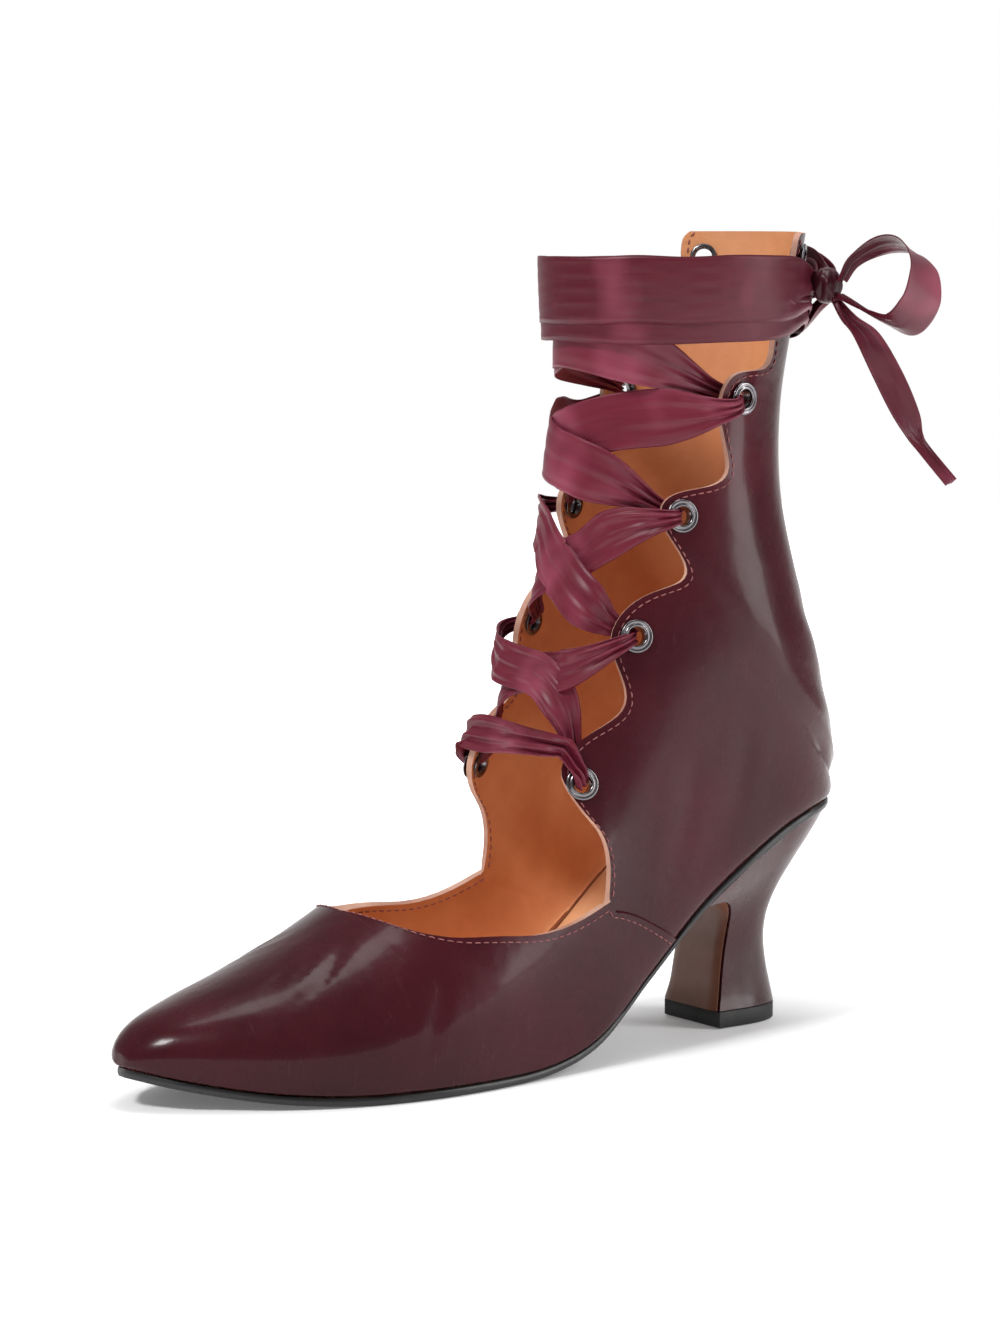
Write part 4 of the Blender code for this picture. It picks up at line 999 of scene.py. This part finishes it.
def ribFeet(edge, corner):
    sections = np.linspace(throat[0][0], topSection, 600)
    length = lengths(lastPoint(sections, 180.0, 1))
    wanted = np.interp(np.maximum.accumulate(column(edge, 0)), sections, length)
    cornerLength = np.interp(wingHeel, sections, length)
    feet = np.empty(len(edge))
    for first, last in ((0, corner), (corner, len(edge) - 1)):
        low = length[0] if first == 0 else cornerLength
        high = cornerLength if last == corner else length[-1]
        even = np.linspace(low, high, last - first + 1)
        kept = np.clip(wanted[first : last + 1], low, high)
        feet[first : last + 1] = np.interp(0.6 * even + 0.4 * kept, length, sections)
    feet[corner] = wingHeel
    feet[np.argmin(np.abs(feet - seatSection))] = seatSection
    return feet


def rib(foot, edge, count):
    at = np.linspace(0.0, 1.0, 61)
    section = foot + (edge[0] - foot) * at**2
    turn = 180.0 + (edge[1] - 180.0) * at
    length = lengths(lastPoint(section, turn, 1))
    share = 0.65 * length / length[-1] + 0.35 * at
    v = np.interp(np.linspace(0.0, 1.0, count + 1), share, at)
    return np.stack([foot + (edge[0] - foot) * v * v, 180.0 + (edge[1] - 180.0) * v], -1)


def upperRibs():
    count = upper["ribSteps"]
    whole = np.linspace(0.0, 1.0, upper["vampRibs"]) ** 0.8 * upper["vampEnd"]
    ribs = [rib(section, (section, 0.0), count) for section in whole]
    edge, corner = openingEdge(upper["fine"])
    feet = ribFeet(edge, corner)
    covered = len(ribs) + corner + 1
    first = len(ribs)
    for k, place in enumerate(edge):
        ribs.append(rib(feet[k], place, count))
        if k == corner:
            behind = np.linalg.norm(lastPoint(feet[k] + 0.1, 150.0, 1) - lastPoint(feet[k], 150.0, 1))
            ribs.append(ribs[-1] + np.array([0.1 * shoe["seamWidth"] / behind, 0.0]))
    return np.array(ribs), covered, first


def wallShare(section):
    half = smooth(np.arange(len(rows)), rows[:, 5], section)
    return np.minimum(1.0, 0.12 + 0.6 * half / (3 * shoe["wall"]))


def creased(points, normals, side):
    for start, end, depth, wide in upper["creases"]:
        if (start[1] >= 0) != (side > 0):
            continue
        share = np.linspace(0, 1, 14)
        section = start[0] + (end[0] - start[0]) * share
        turn = abs(start[1]) + (abs(end[1]) - abs(start[1])) * share
        line = lastPoint(section, turn, side)
        apart = np.linalg.norm(points[..., None, :] - line, axis=-1)
        near = apart.min(-1)
        fade = np.sin(np.pi * (apart.argmin(-1) + 0.5) / len(share)) ** 0.7
        hollow = np.exp(-((near / wide) ** 2))
        banks = 0.55 * np.exp(-(((near - 1.7 * wide) / wide) ** 2))
        push = -depth * fade * (hollow - banks)
        points = points + normals * push[..., None]
    return points


def halfUpper(ribs, covered, side):
    sections, turns = ribs[..., 0], ribs[..., 1]
    step = np.where(np.arange(len(ribs)) < covered, shoe["vampStep"], 0.0)[:, None]
    points = lastPoint(sections, turns, side)
    normals = lastNormal(np.maximum(sections, 0.05), turns, side)
    flat = normals.copy()
    flat[..., 2] = np.maximum(flat[..., 2], 0.0)
    lifted = points + flat * step[..., None]
    lifted[0] = points[0]
    share = (shoe["wall"] * wallShare(sections) + step) / (shoe["wall"] + shoe["vampStep"])
    return creased(lifted, normals, side), share


def makeUpper():
    ribs, covered, first = upperRibs()
    rowCount, columnCount = ribs.shape[:2]
    points, shares, faces = [], [], []
    for number, side in enumerate((1, -1)):
        half, share = halfUpper(ribs, covered, side)
        points.append(half.reshape(-1, 3))
        shares.append(share.ravel())
        base = number * rowCount * columnCount
        for face in gridFaces(rowCount, columnCount):
            face = tuple(k + base for k in face)
            faces.append(face[::-1] if side > 0 else face)
    points, shares = np.concatenate(points), np.concatenate(shares)
    piece = meshPiece("upperLeather", points, faces, [looks["leather"], looks["lining"], looks["rawEdge"]])
    group = piece.vertex_groups.new(name="wall")
    work = bmesh.new()
    work.from_mesh(piece.data)
    layer = work.verts.layers.deform.verify()
    for vert, share in zip(work.verts, shares):
        vert[layer][group.index] = float(share)
    bmesh.ops.remove_doubles(work, verts=work.verts, dist=2e-5)
    bmesh.ops.dissolve_degenerate(work, edges=work.edges, dist=1e-6)
    work.to_mesh(piece.data)
    work.free()
    wall = piece.modifiers.new("wall", "SOLIDIFY")
    wall.thickness = shoe["wall"] + shoe["vampStep"]
    wall.offset = -1.0
    wall.vertex_group = group.name
    wall.material_offset = 1
    wall.material_offset_rim = 2
    piece = punched(applied(piece))
    piece.data.set_sharp_from_angle(angle=math.radians(48))
    seat(piece, "burgundy_leather", "upper")
    return ribs, first


def eyeletPlace(number, side):
    section, turn = eyelets[number]
    out = Vector(lastNormal(section, turn, side))
    facing = out.to_track_quat("Z", "Y").to_matrix().to_4x4()
    return Matrix.Translation(Vector(lastPoint(section, turn, side))) @ facing


def punched(piece):
    cutter = bmesh.new()
    for number in range(len(eyelets)):
        for side in (1, -1):
            bmesh.ops.create_cone(
                cutter, cap_ends=True, segments=28, radius1=0.0036, radius2=0.0036, depth=0.009,
                matrix=eyeletPlace(number, side),
            )
    data = bpy.data.meshes.new("holes")
    cutter.to_mesh(data)
    cutter.free()
    data.materials.append(looks["rawEdge"])
    tool = bpy.data.objects.new("holes", data)
    bpy.context.scene.collection.objects.link(tool)
    cut = piece.modifiers.new("holes", "BOOLEAN")
    cut.operation = "DIFFERENCE"
    cut.solver = "MANIFOLD"
    cut.object = tool
    applied(piece)
    bpy.data.objects.remove(tool)
    return piece


ribs, firstRib = makeUpper()
print("upper made")

eyeletRing = {
    "radius": 0.0050, "hole": 0.0027, "barrel": 0.0032, "flange": 0.00055, "seat": 0.0005, "turns": 44,
}


def makeEyelets():
    r, h, b, f, s = (eyeletRing[k] for k in ("radius", "hole", "barrel", "flange", "seat"))
    back = -shoe["wall"] - s - r**2 / (1.6 * shoe["shaftWidth"])
    lip = (b + 0.0036) / 2 + f
    outline = (
        (h, back - f), (h + 0.0001, s + 0.5 * f), (h + 0.0003, s + 1.25 * f), (h + 0.0007, s + 1.35 * f),
        (h + 0.0010, s + 1.0 * f), (h + 0.0012, s + 0.62 * f), (r - 0.0010, s + 0.66 * f),
        (r - 0.0007, s + 1.05 * f), (r - 0.0003, s + 1.0 * f), (r, s + 0.55 * f), (r, s + 0.05 * f),
        (r - 0.0003, s), (b, s), (b, back), (lip, back), (lip + 0.0002, back - 0.5 * f), (lip, back - f),
    )
    for number in range(len(eyelets)):
        for side, half in ((1, "outer"), (-1, "inner")):
            place = eyeletPlace(number, side)
            rings = []
            for radius, height in (*outline, outline[0]):
                turn = np.linspace(0, 2 * math.pi, eyeletRing["turns"], endpoint=False)
                ring = [place @ Vector((radius * math.cos(t), radius * math.sin(t), height)) for t in turn]
                rings.append([tuple(p) for p in ring])
            name = f"eyelet{half.capitalize()}{number + 1}"
            piece = turnedOut(loftPiece(name, rings, [looks["metal"]], caps=False), 1e-6)
            seat(piece, "gunmetal", f"eyelet_{half}_{number + 1}")


makeEyelets()
print("eyelets set")

stitches = {"inset": 0.0021, "pitch": 0.0027, "length": 0.0018, "radius": 0.0002}


def insetLine(rows, inset, side):
    # a line on the leather, that far along each row of places
    places, normals = [], []
    for row in rows:
        run = lengths(lastPoint(row[:, 0], row[:, 1], side))
        section = np.interp(inset, run, row[:, 0])
        turn = np.interp(inset, run, row[:, 1])
        places.append(lastPoint(section, turn, side))
        normals.append(lastNormal(section, turn, side))
    return np.array(places), np.array(normals)


def stitchRow(points, faces, line, normals, lift):
    run = lengths(line)
    count = int(run[-1] / stitches["pitch"])
    for k in range(count):
        middle = (k + 0.5) * stitches["pitch"]
        at = middle + np.linspace(-0.5, 0.5, 5) * stitches["length"]
        path = np.stack([np.interp(at, run, line[:, c]) for c in range(3)], -1)
        out = unit(np.stack([np.interp(at, run, normals[:, c]) for c in range(3)], -1))
        tangent = unit(np.gradient(path, axis=0))
        sideways = np.cross(tangent, out)
        arch = lift + np.array([-0.00012, 0.00008, 0.00014, 0.00008, -0.00012]) * np.sign(lift + 1e-9)
        radius = stitches["radius"] * np.array([0.6, 1.0, 1.0, 1.0, 0.6])
        base = len(points)
        for p, o, w, lifted, size in zip(path, out, sideways, arch, radius):
            for turn in np.linspace(0, 2 * math.pi, 6, endpoint=False):
                points.append(p + o * lifted + (o * math.sin(turn) + w * math.cos(turn)) * size)
        for r in range(4):
            for c in range(6):
                d = (c + 1) % 6
                here, ahead = base + r * 6, base + (r + 1) * 6
                faces.append((here + c, here + d, ahead + d, ahead + c))
        faces.append(tuple(base + c for c in range(6))[::-1])
        faces.append(tuple(base + 24 + c for c in range(6)))


def makeStitches(ribs, first):
    corner = first + upper["edgeSteps"][0] * upper["fine"]
    total = len(ribs)
    points, faces = [], []
    outer = 0.0001
    inner = -shoe["wall"] - 0.0001
    for side in (1, -1):
        for start, end, step in ((first, corner + 1, shoe["vampStep"]), (corner + 2, total, 0.0)):
            line, normals = insetLine(ribs[start:end, ::-1], stitches["inset"], side)
            stitchRow(points, faces, line, normals, outer + step)
            stitchRow(points, faces, line, normals, inner)
        beside = ribs[corner::-1][:14].transpose(1, 0, 2)[6:-3]
        line, normals = insetLine(beside, stitches["inset"], side)
        stitchRow(points, faces, line, normals, outer + shoe["vampStep"])
    piece = meshPiece("edgeStitching", points, faces, [looks["thread"]])
    seat(piece, "burgundy_leather")


makeStitches(ribs, firstRib)
print("stitched")

# Sole, insole and heel

soleSlab = {"stations": 120, "across": 17}


def makeSlab(name, look, slot, node, inset, lower, thickness, toeGap=0.0, crown=0.0):
    tiny = 0.0004
    even = np.linspace(0.0, 1.0, soleSlab["stations"])
    at = 0.5 * even + 0.5 * (1 - np.cos(math.pi * even)) / 2
    stations = inset + tiny + (shoe["length"] - 2 * inset - toeGap - 2 * tiny) * at
    rings = []
    for forward in stations:
        lean, half = soleHalf(forward, inset)
        low = float(soleUnder(forward)) + lower
        u = np.linspace(-1, 1, soleSlab["across"])
        edge = min(0.22 * thickness, 0.4 * half)
        ring = []
        for share in u:  # underside
            ring.append((lean + share * (half - edge), low))
        for share in (0.25, 0.5, 0.75):
            ring.append((lean + half, low + share * thickness))
        for share in u[::-1]:
            ring.append((lean + share * (half - edge), low + thickness + crown * (1 - share**2)))
        for share in (0.75, 0.5, 0.25):
            ring.append((lean - half, low + share * thickness))
        rings.append([(x, -forward, z) for x, z in ring])
    piece = loftPiece(name, np.array(rings) + shift, [look])
    piece.data.set_sharp_from_angle(angle=math.radians(50))
    return seat(piece, slot, node)


insole = {
    "inset": shoe["soleEdge"] + 0.2 * shoe["wall"],
    "thickness": 0.0016,
    "toeGap": 0.006,
    "crown": 0.0006,
}
heel = {
    "liftLength": 0.029,
    "liftWidth": 0.0275,
    "liftHeight": 0.0052,
    "cover": 0.0012,
    "reach": 0.060,
    "rings": (
        (0.00, 0.985, 0.000, 1.00, 0.00), (0.10, 0.935, 0.040, 0.94, 0.00), (0.24, 0.870, 0.075, 0.90, 0.00),
        (0.38, 0.845, 0.110, 0.89, 0.00), (0.52, 0.880, 0.150, 0.93, 0.03), (0.64, 0.950, 0.180, 1.02, 0.12),
        (0.76, 1.020, 0.170, 1.16, 0.32), (0.87, 1.060, 0.120, 1.26, 0.62), (0.95, 1.070, 0.060, 1.30, 0.86),
        (1.00, 1.070, 0.000, 1.30, 1.00),
    ),
    "levels": 60,
    "arc": 56,
    "flat": 10,  # steps along the flat front
    "straight": 0.30,  # share of the plan's depth before it rounds off
    "power": 0.82,
    "coverTop": 0.82,
    "treadRings": (  # height and how far in
        (0.0, 0.0003), (0.0003, 0.0), (0.0025, 0.0), (0.0050, 0.0), (0.0052, 0.0002),
    ),
}


def dPlan(count):  # a D: flat in front and round behind
    flat = [(-1 + 2 * k / heel["flat"], 0.0) for k in range(heel["flat"])]
    straight, power = heel["straight"], heel["power"]
    arc = []
    for k in range(count + 1):
        turn = math.pi * k / count
        x = math.copysign(abs(math.cos(turn)) ** power, math.cos(turn))
        arc.append((x, straight + 0.70 * math.sin(turn) ** power))
    return flat + [(1.0, 0.0)] + arc


def liftPoint(x, y, back, breast, wide):
    front = shoe["breastPlace"] - breast * heel["liftLength"]
    rear = shoe["breastPlace"] - back * heel["liftLength"]
    return x * wide * heel["liftWidth"] / 2, front + (rear - front) * y


def seatPoint(x, y):
    forward = heel["reach"] * (1 - y) ** 0.9 + shoe["soleEdge"]
    lean, half = soleHalf(forward, shoe["soleEdge"])
    if y > heel["straight"]:
        angle = math.acos(max(-1.0, min(1.0, x)))
        forward = shoe["soleEdge"] + heel["reach"] * 0.55 * (1 - math.sin(angle))
        lean, half = soleHalf(forward, shoe["soleEdge"])
        return float(lean + math.copysign(half, x) if abs(x) > 1e-6 else lean), forward
    return float(lean + x * half), forward


def heelRing(level, plan):
    back, breast, wide, flare = (
        float(curve(heel["rings"], k, level)) for k in range(1, 5)
    )
    ring = []
    for x, y in plan:
        stemX, stemY = liftPoint(x, y, back, breast, wide)
        seatX, seatY = seatPoint(x, y)
        across = stemX + (seatX - stemX) * flare
        forward = stemY + (seatY - stemY) * flare
        bottom = heel["liftHeight"] + shoe["fit"]
        top = float(soleUnder(forward)) - shoe["fit"]
        ring.append((across, -forward, bottom + (top - bottom) * level))
    return ring


def makeHeel():
    plan = dPlan(heel["arc"])
    rings = np.array([heelRing(level, plan) for level in np.linspace(0, 1, heel["levels"])]) + shift
    block = loftPiece("heelBlock", rings, [looks["heelLeather"]])
    block.data.set_sharp_from_angle(angle=math.radians(50))
    seat(block, "heel_cover", "heel")
    strips = []
    for level in np.linspace(0.0, heel["coverTop"], 40):
        ring = heelRing(level, plan)
        left, right = ring[0], ring[heel["flat"]]
        front = left[1] - shoe["fit"]
        edge = shoe["fit"] + heel["cover"] / 2
        x = np.linspace(left[0] + edge, right[0] - edge, 13)
        bulge = 0.35 + 0.65 * np.clip(np.minimum(x - x[0], x[-1] - x) / 0.0012, 0, 1) ** 0.5
        nearSide = [(a, front, left[2]) for a in x]
        farSide = [(a, front - heel["cover"] * b, left[2]) for a, b in zip(x[::-1], bulge[::-1])]
        strips.append(nearSide + farSide)
    cover = loftPiece("heelBreast", np.array(strips) + shift, [looks["breast"]])
    cover.data.set_sharp_from_angle(angle=math.radians(60))
    seat(cover, "breast_leather", "heel_breast")
    tread = []
    centre, half = 0.031, 0.013
    for height, inset in heel["treadRings"]:
        ring = []
        for x, y in plan:
            across, forward = liftPoint(x, y, *heel["rings"][0][1:4])
            inward = inset / half
            ring.append((across * (1 - inward), -(forward + (centre - forward) * inward), height))
        tread.append(ring)
    lift = loftPiece("topPiece", np.array(tread) + shift, [looks["tread"]])
    lift.data.set_sharp_from_angle(angle=math.radians(50))
    seat(lift, "black_lift", "top_piece")


makeSlab("outsoleEdge", looks["sole"], "black_sole", "outsole", 0.0, 0.0, shoe["soleThickness"])
makeSlab(
    "insoleSock", looks["insole"], "tan_leather", "insole", insole["inset"],
    shoe["soleThickness"] + shoe["fit"], insole["thickness"], insole["toeGap"], insole["crown"],
)
makeHeel()
print("sole and heel made")
